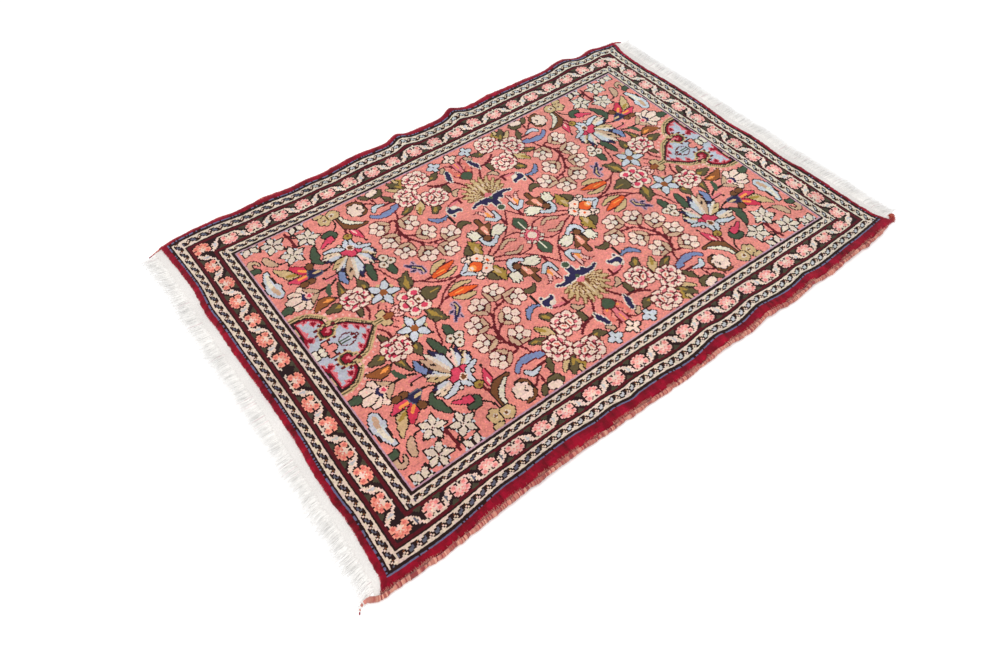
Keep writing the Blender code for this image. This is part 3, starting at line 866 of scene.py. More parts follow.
# Yarn, points from root to tip, and their widths.
STEMS = (
    ("wine", ((90, 14.5), (85, 10.5), (80, 6), (73, 2.4), (67, 1), (61, 0.5)), (1.4, 2)),
    ("wine", ((88, 13), (83, 10.8), (77, 10.3)), 1.5),
    ("wine", ((50, 35.5), (60, 37), (66, 42), (70, 48), (72.5, 55), (72.5, 62), (70.5, 68), (66, 73),
              (64.5, 79)), (2.4, 1.8, 3, 2.2, 2)),
    ("wine", ((67, 37), (66.5, 42)), 1.6),
    ("wine", ((75, 46), (72, 49)), 1.6),
    ("wine", ((77, 60.5), (73, 63)), 1.5),
    ("wine", ((76, 72), (71, 72.5), (68, 70)), 1.6),
    ("wine", ((64, 49), (67, 51), (71.5, 55)), 1.6),
    ("wine", ((57, 31), (58.5, 36)), 1.6),
    ("wine", ((99, 22.5), (101.5, 29), (103.5, 37), (105, 40)), 1.5),
    ("ink", ((99.5, 43), (104.5, 47.5)), 1.2),
    ("wine", ((139, 91), (138.5, 99), (139.5, 107)), (2.6, 2.4, 2.2)),
    ("ink", ((137, 100.5), (132.5, 97)), 1.2),
    ("wine", ((131, 5.5), (128, 10), (127, 17)), (1.6, 1.8)),
    ("wine", ((124, 6.5), (120, 12)), 1.3),
    ("wine", ((119, 3.5), (116.5, 8.5)), 1.3),
    ("ink", ((143, 34), (138, 33), (135.5, 29)), 1.6),
    ("ink", ((148, 45.5), (137, 45.5), (131, 48.5)), (1.8, 1.6)),
    ("rose", ((137, 50.8), (127, 50.2)), (2.4, 2.2)),
    ("ink", ((137.5, 54.5), (136.4, 52.2), (127, 52.4)), 1.3),
    ("ink", ((135, 59.6), (130, 60), (124, 63)), (1.6, 1.3)),
    ("ink", ((169, 81), (164.5, 81.5)), 1.3),
    ("ink", ((157, 83), (150.5, 81.6)), 1.3),
    ("ink", ((110, 88), (106, 93), (104.5, 99)), 1.4),
    ("wine", ((104, 81), (102, 88), (101.5, 97)), (2, 2.2)),
    ("wine", ((81, 99), (81.2, 107.5)), 1.6),
    ("wine", ((80, 101), (75, 98), (71, 93.5), (72, 102)), 1.6),
    ("wine", ((68, 89.6), (60, 89.4), (54, 88)), 1.5),
    ("wine", ((34, 1), (28, 3.6), (22, 7), (17, 10), (9, 9.3), (5, 7)), (1.6, 1.3)),
    ("wine", ((17, 10), (12, 14.5), (8, 19), (5, 23.5), (2, 28.5), (0, 32)), (1.3, 1.5)),
    ("wine", ((7.4, 19.5), (7.3, 27)), 2.2),
    ("wine", ((37, 3.5), (31, 7), (28, 10)), 1.5),
    ("wine", ((31, 60), (24, 62.4), (13, 62)), (1.4, 1.2)),
    ("wine", ((20.5, 57), (20.5, 62)), (1.4, 1.2)),
    ("wine", ((31, 83), (20, 81.6), (14, 80.6), (10, 76), (7, 70), (6, 65)), (2.2, 1.8)),
    ("wine", ((30, 87.5), (24, 83.5), (19, 82)), (2, 1.6)),
    ("wine", ((17, 71.5), (9, 69.5)), (1.3, 1.2)),
    ("wine", ((14, 97), (8, 98), (4, 94)), (1.3, 1.2)),
    ("wine", ((10, 103), (5, 103)), 1.2),
    ("ink", ((36.5, 51), (36.4, 43)), (2, 1.4)),
    ("ink", ((96, 72), (95.5, 67)), (1.5, 1.2)),
    ("wine", ((6.5, 83.5), (7.4, 88), (4.5, 93), (3.6, 97)), (1.3, 1.2)),
)

# Yarns of a leaf, its line and its heart, points from root to tip, widths, and teeth if it has any.
LEAVES = (
    ("olive ink", ((132.2, 18), (132.6, 14), (133.4, 10.5)), (3.2, 3.8, 2)),
    ("olive ink mustard", ((140, 26), (144, 26), (150, 26)), (5.6, 6.8, 2.6)),
    ("olive ink mustard", ((133.8, 31.5), (133.5, 35), (133, 39), (131.5, 44.5)), (4, 7, 3, 1.2)),
    ("olive ink mustard", ((119.5, 28.5), (119.6, 33), (120, 38.5)), (4.2, 6.8, 1)),
    ("rust ink amber", ((142.6, 34.4), (148, 35.2), (155, 31.6)), (4.4, 7.6, 2.6)),
    ("green", ((141, 38.4), (140.2, 42), (137.6, 46)), (2.4, 4.2, 2.6)),
    ("green ink", ((166.6, 42.4), (170, 42.8), (174, 41.6)), (4.4, 6.4, 2.4)),
    ("blue ink", ((126.6, 40.6), (127, 46), (125, 51), (123, 55)), (1.6, 4.4, 3.6, 2.4)),
    ("sky ink beige", ((168, 59), (168.8, 65), (169, 73), (167, 80.6)), (6.4, 10.4, 5.4, 2.6)),
    ("white", ((169.4, 68), (168.6, 73), (167.4, 79)), (3.4, 3, 1.6)),
    ("ink", ((172.6, 70.6), (172.4, 74.6)), (1.6, 2.4)),
    ("ink", ((165.8, 69), (165.6, 74.4)), (1.6, 2.4)),
    ("green ink", ((130.6, 65.6), (133.6, 70), (132.4, 75), (129.6, 83)), (1.2, 4.6, 6.4, 2)),
    ("beige ink", ((157.4, 83.4), (160, 87), (161.8, 92.6)), (2.4, 5.6, 3.6)),
    ("green ink", ((174, 87), (171, 86.6), (169.4, 85)), (4.8, 4.4, 2.4)),
    ("beige ink", ((173.4, 91), (172.6, 94), (170.4, 95.2), (168, 93.6), (167.2, 90.4)),
     (3.8, 3.2, 2, 1)),
    ("green ink", ((110, 32), (108.6, 40), (107.6, 51)), (2.4, 5, 4.2)),
    ("navy lilac", ((81.4, 16.6), (82, 21), (87, 23)), (1.2, 1.6, 1.2)),
    ("navy lilac", ((82.4, 23), (81.8, 29.5)), (1.8, 1)),
    ("navy lilac khaki", ((79.6, 18), (80.6, 22), (84, 26), (88, 30.4)), (2.6, 3.8, 3.4, 1)),
    ("olive ink mustard", ((97.2, 11), (95.6, 16), (94, 20), (90, 25)), (3, 11.4, 9.4, 1), 5),
    ("mustard", ((97.6, 13.6), (92.6, 22)), (1.1, 1.1)),
    ("blush wine wine", ((116.4, 0.4), (113, 2.6), (110.6, 3.4)), (4.4, 3.4, 1.2)),
    ("blue wine", ((80.6, 85), (76, 81.4), (69, 81), (62, 83.2), (58, 85.6)),
     (2.6, 5.4, 5.8, 2.6), 3),
    ("sky ink", ((77, 88.2), (73.6, 92), (67.6, 91)), (1.8, 3.8, 1.2)),
    ("magenta wine blush", ((99.2, 82), (97.6, 77), (95.6, 70.6)), (2.2, 5, 1)),
    ("brown ink", ((101, 98), (99.6, 89), (94.6, 83.6), (86, 82.4)), (3.2, 6.2, 4.6, 1.2)),
    ("white ink", ((100.4, 99.4), (98, 92), (94, 87.4), (88.4, 83.6)), (1.8, 3.8, 3.2, 1), 4),
    ("olive ink", ((59, 89), (61.6, 94), (63.6, 98)), (2, 5.6, 1.4), 2),
    ("green ink", ((118.6, 88.2), (113.6, 88.6), (111.6, 85), (113.6, 81.6)), (2.6, 4.8, 4.2, 1.2)),
    ("magenta ink", ((116, 83), (119, 82), (125, 78.6)), (5.8, 5.6, 1.2), 3),
    ("olive ink", ((36.8, 38), (33, 39.6), (29.6, 38.6), (28.2, 36)), (3.4, 4.4, 2.6, 1)),
    ("olive ink", ((45.4, 10.6), (45.4, 14), (42.4, 19)), (4.4, 8, 2.2), 3),
    ("mustard ink khaki", ((40.4, 9.6), (39.2, 15), (40, 22)), (6.6, 9.4, 1.4), 4),
    ("blue ink", ((49, 57.6), (45.4, 52.6), (41, 51.4), (36.8, 52.6)), (1.4, 4.6, 3.8, 1), 3),
    ("navy silver", ((32.4, 49.4), (32.4, 54), (31.8, 59)), (2.6, 5.2, 2.4), 4),
    ("navy silver", ((31, 54.6), (28, 54), (25.4, 51.6)), (7, 5.4, 2)),
    ("ivory", ((28.4, 56.2), (26.8, 56.4)), (3.6, 3.4)),
    ("rose", ((30, 58.8), (26, 60.6), (22, 60.6)), (1.2, 2.2, 1)),
    ("beige wine", ((25, 3.4), (17.6, 6.6), (12, 3.6)), (2.2, 3.4, 1.8), 3),
    ("olive ink mustard", ((41.4, 61), (38.4, 64.6), (38, 69)), (3.4, 8.4, 4.4), 3),
    ("khaki ink mustard", ((51, 66), (47.4, 72), (45, 75.6)), (2, 8.6, 6), 3),
    ("olive ink mustard", ((60, 73.6), (55, 75.6), (51.4, 77)), (2.4, 5.6, 2.6)),
    ("olive ink", ((20.6, 74), (20.8, 78.6)), (3.6, 4.8)),
    ("olive ink mustard", ((26.6, 93.2), (22, 93.4), (17, 96)), (2.6, 7, 3), 3),
    ("olive ink mustard", ((46.4, 97.4), (49.4, 102), (53, 107)), (3, 6.8, 3.6), 3),
    ("khaki ink", ((50.6, 97), (54, 99.6), (57.4, 103.4)), (2.6, 3.2, 1)),
    ("mustard", ((45.6, 101), (44.4, 105), (46.4, 108)), (2.2, 4.4, 2.2)),
    ("khaki ink", ((46.8, 105), (47.6, 108.4)), (2, 2.4)),
    ("beige ink", ((19.6, 67), (17.4, 70), (14.4, 70.6)), (2.6, 3.8, 1.2)),
    ("navy silver", ((13, 80), (12.4, 85), (10.4, 91)), (1.2, 3.8, 3)),
    ("beige ink", ((13.4, 93.6), (10.6, 96.4)), (2.2, 3)),
    ("coral wine amber", ((3.6, 81.6), (5, 84), (5.4, 87)), (4.4, 5.2, 2)),
    ("coral", ((7, 86.6), (6.6, 92)), (2.2, 3.4)),
    ("rose wine amber", ((0, 96), (0, 90), (0, 84.6)), (4.2, 4.6, 2)),
    ("khaki ink", ((124.4, 3.6), (122.6, 4.6)), (4.4, 4.8)),
    ("rust wine", ((123, 0), (119, 0.2), (117, 0.4)), (3.2, 4, 2)),
    ("khaki ink", ((114.4, 108), (110, 107.6)), (2.8, 3.4)),
    ("olive ink", ((61.6, 106), (64, 102.6), (69, 102)), (2.2, 4.2, 2.6)),
    ("olive ink", ((77.6, 108), (75, 105), (73, 104)), (2, 4.4, 2.4)),
    ("cream ink", ((66, 107), (70, 106)), (5.4, 5)),
)

HEART_WIDTH = 0.34       # a leaf's heart against the leaf
MOTIF_REACH = 36         # knots that a motif may take up on each side of its middle

# Flower, middle, the way it faces, mirrored or not.
FLOWERS = (
    (pink_rose, 130, 25, 0, 1), (wide_rose, 98, 0, 0, 1), (daisy, 154.5, 46, 0, 1),
    (ring_blossoms, 95.4, 40.4, -90, 1), (palmette, 109, 65, 0, 1), (corner_flower, 140, 61, 0, 1),
    (orange_tulip, 69, 11.5, 180, -1), (axis_daisy, 46, 0, 180, -1), (lily, 24, 22, 0, 1),
    (arch_tulip, 10, 33, 0, 1), (khaki_palmette, 0, 48, 0, 1), (rosette, 0, 0, 0, 1),
    (medallion, 153, 0, 0, 1), (foil, 68.4, 28.4, -90, 1), (foil, 80.4, 40.4, -45, 1),
    (foil, 84.6, 55.2, -25, 1), (foil, 84.2, 71.4, 0, 1), (foil, 61.2, 62.6, -130, 1),
    (foil, 52.8, 24.2, -135, 1), (foil, 43.4, 38.2, 135, 1), (foil, 56, 48, 180, 1),
    (blossom, 110, 101.6, 30, 1), (backed_blossom, 85.6, 98, 0, 1), (rose, 32.4, 74.6, 0, -1),
    (rose, 49, 86.4, -86, 1), (rose, 34, 99, 0, 1), (brown_eye, 102.4, 103.6, 0, 1),
)
# Middle and direction of the ivory stars.
STARS = ((144, 85, 24), (151, 101.6, 20), (128, 94, 50), (166, 109.5, 20), (130.5, 110.5, 18))


def draw_field():
    """The field's quarter, from its middle to its corner, mirrored to all four corners."""
    quarter = np.full((HALF_ROWS, HALF_COLUMNS), YARN["salmon"])
    sheet = Pen(quarter, 0, 0, reach=HALF_COLUMNS)
    for yarn, points, widths in STEMS:
        sheet.put(sheet.blade(points, widths), yarn)
    for yarns, points, widths, *teeth in LEAVES:
        yarn, line, heart = (yarns.split() + [None, None])[:3]
        sheet.put(sheet.blade(points, widths, *teeth), yarn, line)
        if heart:
            sheet.put(sheet.blade(points[:-1], [width * HEART_WIDTH for width in widths]), heart)
    for flower, x, y, turn, flip in FLOWERS:
        flower(Pen(quarter, x, y, turn, flip, reach=MOTIF_REACH))
    for x, y, turn in STARS:
        star(Pen(quarter, x, y, turn), "ivory", "sky", "wine")
    star(Pen(quarter, 112, 18.6, -90), "sky", "khaki", "rust", 11.0, 5.2, 5.4)
    cross_foil(Pen(quarter, 15, 102.6), "sky")
    cross_foil(Pen(quarter, 0, 102.8), "cream")
    quarter[-1] = YARN["lilac"]
    quarter[:, -1] = YARN["lilac"]
    half = np.concatenate([quarter[:, :0:-1], quarter], axis=1)
    return np.concatenate([half[:0:-1], half], axis=0)


def draw_cartoon():
    """Yarn number of every knot: rows from the front, columns from the left."""
    rows = FRONT_KNOTS + FIELD_ROWS + BACK_KNOTS
    columns = LEFT_KNOTS + FIELD_COLUMNS + RIGHT_KNOTS
    cartoon = np.zeros((rows, columns), int)
    band = draw_bands(cartoon)
    draw_main_border(cartoon, band)
    cartoon[FRONT_KNOTS:rows - BACK_KNOTS, LEFT_KNOTS:columns - RIGHT_KNOTS] = draw_field()
    return cartoon


# ---------------------------------------------------------------- how the cloth lies

def read_edge(rows, column, places):
    """One column of an edge table at places in metres, on a smooth curve through its rows."""
    table = np.array(rows, float)
    x, value = table[:, 0], table[:, column]
    slope = np.empty_like(value)
    slope[1:-1] = (value[2:] - value[:-2]) / (x[2:] - x[:-2])
    slope[[0, -1]] = np.diff(value)[[0, -1]] / np.diff(x)[[0, -1]]
    at = np.clip(np.asarray(places, float) / MM, x[0], x[-1])
    i = np.clip(np.searchsorted(x, at, side="right") - 1, 0, len(x) - 2)
    span = x[i + 1] - x[i]
    return ease(value, slope, i, (at - x[i]) / span, span) * MM


def fade(distance, reach):
    """1 on a rim, easing to 0 at its reach."""
    k = np.clip(1.0 - distance / reach, 0.0, None)
    return k * k * (3.0 - 2.0 * k)


def lay(u, v):
    """Where points of the flat body lie on the floor, and how high the cloth is lifted."""
    u, v = np.broadcast_arrays(np.asarray(u, float), np.asarray(v, float))
    back, front = fade(BODY_BACK - v, RIPPLE_REACH), fade(v - BODY_FRONT, RIPPLE_REACH)
    y = v + back * (read_edge(BACK_EDGE, 1, u) - BODY_BACK)
    y = y + front * (read_edge(FRONT_EDGE, 1, u) - BODY_FRONT)
    lift = back * read_edge(BACK_EDGE, 2, u) + front * read_edge(FRONT_EDGE, 2, u)
    left, right = fade(u - BODY_LEFT, FLARE_REACH), fade(BODY_RIGHT - u, FLARE_REACH)
    x = u + left * (read_edge(LEFT_EDGE, 1, v) - BODY_LEFT)
    x = x + right * (read_edge(RIGHT_EDGE, 1, v) - BODY_RIGHT)
    return x + FIELD_X, y + FIELD_Y, np.maximum(lift, 0.0)


def between(low, high, count):
    """Count evenly spaced places from low towards high, high itself left out."""
    return low + (high - low) * np.arange(count)[:, None] / count


def knot_corners():
    """Flat places of every corner between knots: u, v, rows from the front, columns from the left."""
    u = np.concatenate([
        between(BODY_LEFT, FIELD_LEFT, LEFT_KNOTS),
        between(FIELD_LEFT, FIELD_RIGHT, FIELD_COLUMNS),
        between(FIELD_RIGHT, BODY_RIGHT, RIGHT_KNOTS),
        [[BODY_RIGHT]],
    ])[:, 0]
    bow = np.clip(u / FIELD_RIGHT, -1.0, 1.0) ** 2
    front, back = FIELD_FRONT - FRONT_BOW * bow, FIELD_BACK + BACK_BOW * bow
    front_hem = BODY_FRONT + read_edge(FRONT_HEM, 1, u)
    back_hem = BODY_BACK - read_edge(BACK_HEM, 1, u)
    front_crimson, back_crimson = BANDS[0][3:]
    v = np.concatenate([
        between(BODY_FRONT, front_hem, front_crimson),
        between(front_hem, front, FRONT_KNOTS - front_crimson),
        between(front, back, FIELD_ROWS),
        between(back, back_hem, BACK_KNOTS - back_crimson),
        between(back_hem, BODY_BACK, back_crimson),
        np.full((1, len(u)), BODY_BACK),
    ])
    return np.broadcast_to(u, v.shape).copy(), v


# ---------------------------------------------------------------- meshes

def stack(*parts):
    """Coordinates side by side along a last axis."""
    return np.stack(parts, axis=-1)


def unit(vectors):
    """The vectors at length one."""
    return vectors / (np.linalg.norm(vectors, axis=-1, keepdims=True) + 1e-12)


def new_piece(name, points, faces, colors, material, replaces=()):
    """A mesh piece that rides on the rug's one body.

    faces holds an array for each number of sides, and colors a linear colour for each face.
    """
    mesh = bpy.data.meshes.new(name)
    points = np.ascontiguousarray(points, np.float32)
    corners = np.concatenate([np.ravel(f) for f in faces]).astype(np.int32)
    sides = np.concatenate([np.full(len(f), f.shape[1]) for f in faces])
    starts = np.concatenate([[0], np.cumsum(sides)[:-1]]).astype(np.int32)
    mesh.vertices.add(len(points))
    mesh.vertices.foreach_set("co", points.ravel())
    mesh.loops.add(len(corners))
    mesh.loops.foreach_set("vertex_index", corners)
    mesh.polygons.add(len(starts))
    mesh.polygons.foreach_set("loop_start", starts)
    mesh.update(calc_edges=True)
    mesh.shade_smooth()
    mesh.materials.append(material)
    piece = bpy.data.objects.new(name, mesh)
    bpy.context.scene.collection.objects.link(piece)
    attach(piece, "root")
    if replaces:
        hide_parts(*replaces)

    yarn = mesh.attributes.new("yarn", "FLOAT_COLOR", "FACE")
    rgba = np.ones((len(colors), 4), np.float32)
    rgba[:, :3] = colors
    yarn.data.foreach_set("color", rgba.ravel())
    # the view from above as texture places
    low, high = points.min(0), points.max(0)
    uv = ((points - low) / (high - low).max())[corners][:, :2] * (1.0 - 2 * UV_MARGIN) + UV_MARGIN
    layer = mesh.uv_layers.new(name="OFBake")
    layer.data.foreach_set("uv", np.ascontiguousarray(uv, np.float32).ravel())
    return piece


def grid_faces(rows, columns):
    """Quads of a grid of rows × columns points, seen from above."""
    corner = np.arange(rows * columns).reshape(rows, columns)
    quads = stack(corner[:-1, :-1], corner[:-1, 1:], corner[1:, 1:], corner[1:, :-1])
    return quads.reshape(-1, 4)


def keep_faces(points, faces, kept):
    """The kept faces with only the points they use."""
    faces = faces[kept]
    used, faces_flat = np.unique(faces, return_inverse=True)
    return points[used], faces_flat.reshape(faces.shape)


def tubes(paths, radii, sides):
    """Closed tubes along many paths at once: points, their quads and their end caps.

    paths is (tube, station, 3), and radii (tube, station) or (tube, station, side).
    """
    count, stations, _ = paths.shape
    along = unit(np.gradient(paths, axis=1))
    across = unit(np.cross(along, (0.0, 0.0, 1.0)))
    up = np.cross(across, along)
    turn = 2 * math.pi * (np.arange(sides) + 0.5) / sides
    ring = across[:, :, None] * np.cos(turn)[:, None] + up[:, :, None] * np.sin(turn)[:, None]
    if radii.ndim == 2:
        radii = radii[:, :, None]
    points = paths[:, :, None] + ring * radii[..., None]
    number = np.arange(count * stations * sides).reshape(count, stations, sides)
    beside = np.roll(number, -1, axis=2)
    quads = stack(number[:, :-1], beside[:, :-1], beside[:, 1:], number[:, 1:]).reshape(-1, 4)
    caps = np.concatenate([number[:, 0, ::-1], number[:, -1]])
    return points.reshape(-1, 3), quads, caps


def smooth_path(points, spacing):
    """Evenly spaced places on a smooth curve through the points."""
    points = np.asarray(points, float)
    step = np.linalg.norm(np.diff(points, axis=0), axis=1)
    at = np.concatenate([[0.0], np.cumsum(step)])
    slope = np.gradient(points, at, axis=0)
    places = np.linspace(0.0, at[-1], max(2, int(round(at[-1] / spacing)) + 1))
    i = np.clip(np.searchsorted(at, places, side="right") - 1, 0, len(at) - 2)
    span = (at[i + 1] - at[i])[:, None]
    return ease(points, slope, i, (places - at[i])[:, None] / span, span)


# ---------------------------------------------------------------- the knotted body

def linear(colors):
    """sRGB colours of 0 to 255 as linear light."""
    c = np.asarray(colors, float) / 255.0
    return np.where(c <= 0.04045, c / 12.92, ((c + 0.055) / 1.055) ** 2.4)


def pick_shades(shades, count):
    """One of the shades for each turn or fibre, linear."""
    return linear(shades)[rng.integers(0, len(shades), count)]


def soft_noise(shape, step):
    """Smooth unevenness over the knots, with a new value every few knots each way."""
    coarse = rng.normal(0.0, 1.0, (shape[0] // step + 2, shape[1] // step + 2))
    row, column = np.arange(shape[0]) / step, np.arange(shape[1]) / step
    i, j = row.astype(int), column.astype(int)
    a, b = (row - i)[:, None], column - j
    low = coarse[i][:, j] * (1.0 - b) + coarse[i][:, j + 1] * b
    high = coarse[i + 1][:, j] * (1.0 - b) + coarse[i + 1][:, j + 1] * b
    return low * (1.0 - a) + high * a


def yarn_colors(cartoon):
    """Linear colour of each knot: its yarn, with the dye's unevenness, most of all in the crimson, and
    painted light: a paler crimson edge and a painted sheen towards the right and the back.
    """
    shape = rows, columns = cartoon.shape
    row, column = np.indices(shape)
    pass_tone = np.repeat(rng.normal(0.0, PASS_TONE, rows // 2 + 1), 2)[:rows, None]
    depth = np.minimum.reduce([row, column, rows - 1 - row, columns - 1 - column])
    hem = (cartoon == YARN["crimson"]) & (depth < HEM_KNOTS)
    tuft_tone = np.where(cartoon == YARN["salmon"], SALMON_TONE, TUFT_TONE)
    tone = 1.0 + rng.normal(0.0, 1.0, shape) * tuft_tone + pass_tone
    tone += BATCH_TONE * soft_noise(shape, BATCH_KNOTS)
    # painted light on the hem: paler at the very edge and darker inwards, with uneven patches over it
    hem_light_and_patches = HEM_EDGE_HIGHLIGHT - HEM_INWARD_SHADE * depth
    for strength, step in HEM_PATCHES:
        hem_light_and_patches = hem_light_and_patches + strength * soft_noise(shape, step)
    tone += hem * hem_light_and_patches
    tone -= LEFT_HEM_SHADE * (hem & (column < LEFT_HEM_KNOTS))
    warmth = rng.normal(0.0, WARMTH, shape) + hem * HEM_WARMTH * soft_noise(shape, HEM_WARMTH_KNOTS)
    colors = linear(list(PALETTE.values()))[cartoon] * tone[..., None]
    colors[..., 1] *= 1.0 + warmth
    colors[..., 2] *= 1.0 - warmth
    # painted sheen: every knot is made paler towards the right and the back
    right, back = 2.0 * column / (columns - 1) - 1.0, 2.0 * row / (rows - 1) - 1.0
    colors *= 1.0 + (SHEEN_RIGHT * right + SHEEN_BACK * back)[..., None] * PAINTED_SHEEN
    return np.clip(colors, DARKEST, 1.0)


def tuft_shift(cartoon):
    """How far each inner corner moves to round a lone tuft, in knots along a row and along a column."""
    ways = ((-1, -1), (1, -1), (-1, 1), (1, 1))
    tufts = (cartoon[:-1, :-1], cartoon[:-1, 1:], cartoon[1:, :-1], cartoon[1:, 1:])
    dark = [np.isin(tuft, CORRODED) for tuft in tufts]
    along, across = np.zeros(tufts[0].shape), np.zeros(tufts[0].shape)
    for n, (a, b) in enumerate(ways):
        others = [tuft for m, tuft in enumerate(tufts) if m != n]
        lone = (others[0] == others[1]) & (others[1] == others[2]) & (tufts[n] != others[0])
        lone &= dark[n] | ~dark[3 - n]
        along += a * TUFT_ROUND * lone
        across += b * TUFT_ROUND * lone
    return along, across


def wander(count, step):
    """Smooth unevenness along a line, with a new value every few places."""
    every = np.arange(0, count + step, step)
    return np.interp(np.arange(count), every, rng.normal(0.0, 1.0, len(every)))


def ragged(count):
    """How far each tuft along a rim stands in or out: tufts lean together in small locks."""
    return RAGGED * (0.6 * wander(count, 4) + 0.4 * rng.normal(0.0, 1.0, count))


def pile_surface(cartoon):
    """Places of the knots' corners on top of the pile, as (rows, columns, 3)."""
    u, v = knot_corners()
    inner = (slice(1, -1), slice(1, -1))
    along, across = tuft_shift(cartoon)
    u[inner] += along * (u[1:-1, 2:] - u[1:-1, :-2]) / 2
    v[inner] += across * (v[2:, 1:-1] - v[:-2, 1:-1]) / 2
    u[inner] += rng.uniform(-KNOT_STRAY, KNOT_STRAY, u[inner].shape)
    v[inner] += rng.uniform(-KNOT_STRAY, KNOT_STRAY, v[inner].shape)
    x, y, lift = lay(u, v)
    for rim, places in ((np.s_[0], y), (np.s_[-1], y), (np.s_[:, 0], x), (np.s_[:, -1], x)):
        places[rim] += ragged(places[rim].size)
    inward = np.minimum.reduce([u - BODY_LEFT, BODY_RIGHT - u, v - BODY_FRONT, BODY_BACK - v])
    shoulder = np.clip(1.0 - inward / SHOULDER, 0.0, 1.0) ** 2
    z = lift + PILE_HEIGHT - (PILE_HEIGHT - EDGE_HEIGHT) * shoulder
    z += rng.normal(0.0, CLIP_UNEVEN, z.shape)
    dark = np.isin(cartoon, CORRODED) / 4
    around = np.zeros_like(z)
    for rows in (slice(0, -1), slice(1, None)):
        for columns in (slice(0, -1), slice(1, None)):
            around[rows, columns] += dark
    z -= CORRODED_DEPTH * around
    return stack(x, y, z)


def pile_rim(surface, colors):
    """The pile's outer side, from its rim down to the floor: points, faces and colours."""
    rim = np.concatenate([surface[0], surface[1:, -1], surface[-1, -2::-1], surface[-2:0:-1, 0]])
    rim_colors = np.concatenate([colors[0], colors[:, -1], colors[-1, ::-1], colors[::-1, 0]])
    way = np.roll(rim, -1, axis=0) - np.roll(rim, 1, axis=0)
    outward = unit(stack(way[:, 1], -way[:, 0], np.zeros(len(way))))
    foot = rim + outward * EDGE_FLARE
    foot[:, 2] = np.maximum(foot[:, 2] - (EDGE_HEIGHT - BACK_LEVEL), BACK_LEVEL)
    belly = rim * 0.45 + foot * 0.55 + outward * EDGE_BELLY
    this = np.arange(len(rim))
    after = np.roll(this, -1)
    upper = stack(this + len(rim), after + len(rim), after, this)
    return (
        np.concatenate([rim, belly, foot]), np.concatenate([upper, upper + len(rim)]),
        np.concatenate([rim_colors, rim_colors]),
    )


def build_pile(cartoon, material):
    """The pile as two pieces, one face for each knot: the field, and the borders round it."""
    surface = pile_surface(cartoon)
    colors = yarn_colors(cartoon)
    rows, columns = cartoon.shape
    points = surface.reshape(-1, 3)
    faces = grid_faces(rows + 1, columns + 1)
    inside = np.zeros((rows, columns), bool)
    inside[FRONT_KNOTS:rows - BACK_KNOTS, LEFT_KNOTS:columns - RIGHT_KNOTS] = True
    field_points, field_faces = keep_faces(points, faces, inside.ravel())
    field = new_piece("pile_field", field_points, [field_faces], colors[inside], material)

    points, faces = keep_faces(points, faces, ~inside.ravel())
    side_points, side_faces, side_colors = pile_rim(surface, colors)
    border = new_piece(
        "pile_border", np.concatenate([points, side_points]), [faces, side_faces + len(points)],
        np.concatenate([colors[~inside], side_colors]), material, ["pile_body"],
    )
    return field, border


def build_back(cartoon, material):
    """The underside, where each knot shows as two flat loops: one face for two knots across."""
    u, v = knot_corners()
    picked = np.unique(np.r_[0:u.shape[1]:2, u.shape[1] - 1])
    x, y, lift = lay(u[:, picked], v[:, picked])
    points = stack(x, y, lift + BACK_LEVEL)
    points[1:-1, 1:-1, 2] += rng.uniform(0.0, BACK_UNEVEN, points[1:-1, 1:-1, 2].shape)
    faces = grid_faces(*x.shape)[:, ::-1]
    colors = yarn_colors(cartoon[:, picked[:-1]]).reshape(-1, 3)
    return new_piece("rug_back", points.reshape(-1, 3), [faces], colors, material)


# ---------------------------------------------------------------- side cords

def cord_line(side, radius, left_tail, right_tail):
    """Centre line and radius of a side cord, from its left loose end along the rim to its right one."""
    rim = BODY_BACK if side > 0 else BODY_FRONT
    u = np.append(np.arange(BODY_LEFT, BODY_RIGHT, CORD_STEP), BODY_RIGHT)
    x, y, lift = lay(u, np.full(len(u), rim))
    radius = radius * np.interp(BODY_RIGHT - u, *CORD_TAPER)
    y = y + side * (radius + SELVEDGE_CLEARANCE)
    line = stack(x, y, lift + radius, radius)
    ends = [
        [(at[0] + way * beyond * MM, at[1] + aside * MM, thick * MM, thick * MM)
         for beyond, aside, thick in tail]
        for tail, at, way in ((left_tail, line[0], -1), (right_tail, line[-1], 1))
    ]
    return np.concatenate([ends[0][::-1], line, ends[1]])


def build_selvedge(name, side, radius, tails, end_wraps, shades, material):
    """A bundle of warps overcast with yarn: a ridge for each turn, each turn its own shade."""
    path = smooth_path(cord_line(side, radius, *tails), WRAP_PITCH / WRAP_RINGS)
    stations = len(path)
    uneven = sum(strength * wander(stations, turns * WRAP_RINGS) for strength, turns in CORD_UNEVEN)
    path[:, 1] += CORD_SWAY * wander(stations, 6 * WRAP_RINGS)
    path, girth = path[:, :3], path[:, 3] * (1.0 + uneven)
    around = 2 * math.pi * (np.arange(WRAP_SIDES) + 0.5) / WRAP_SIDES
    turn = np.arange(stations)[:, None] / WRAP_RINGS + WRAP_SLANT * np.cos(around)
    ridge = np.abs(np.sin(math.pi * turn)) ** 0.7
    radii = girth[:, None] * (1.0 - WRAP_RELIEF * (1.0 - ridge))
    radii[[0, -1]] *= WRAP_CLOSE
    points, quads, caps = tubes(path[None], radii[None], WRAP_SIDES)
    points[:, 2] = np.maximum(points[:, 2], LOWEST_YARN)

    middle = (turn[:-1] + turn[1:]) / 2
    middle = (middle + np.roll(middle, -1, axis=1)) / 2
    wraps = np.floor(middle).astype(int)
    which = (wraps - wraps.min()).ravel()
    count = which.max() + 1
    colors = pick_shades(shades, count)
    for end, names in zip((1, -1), end_wraps):
        colors[::end][:len(names)] = linear([WRAP_YARNS[yarn] for yarn in names])
    colors = (colors * rng.normal(1.0, WRAP_TONE, (count, 1)))[which]
    return new_piece(
        name, points, [quads, caps], np.concatenate([colors, colors[:1], colors[-1:]]), material,
        ["selvedge_front" if side < 0 else "selvedge_back"],
    )


# ---------------------------------------------------------------- end webs and fringes

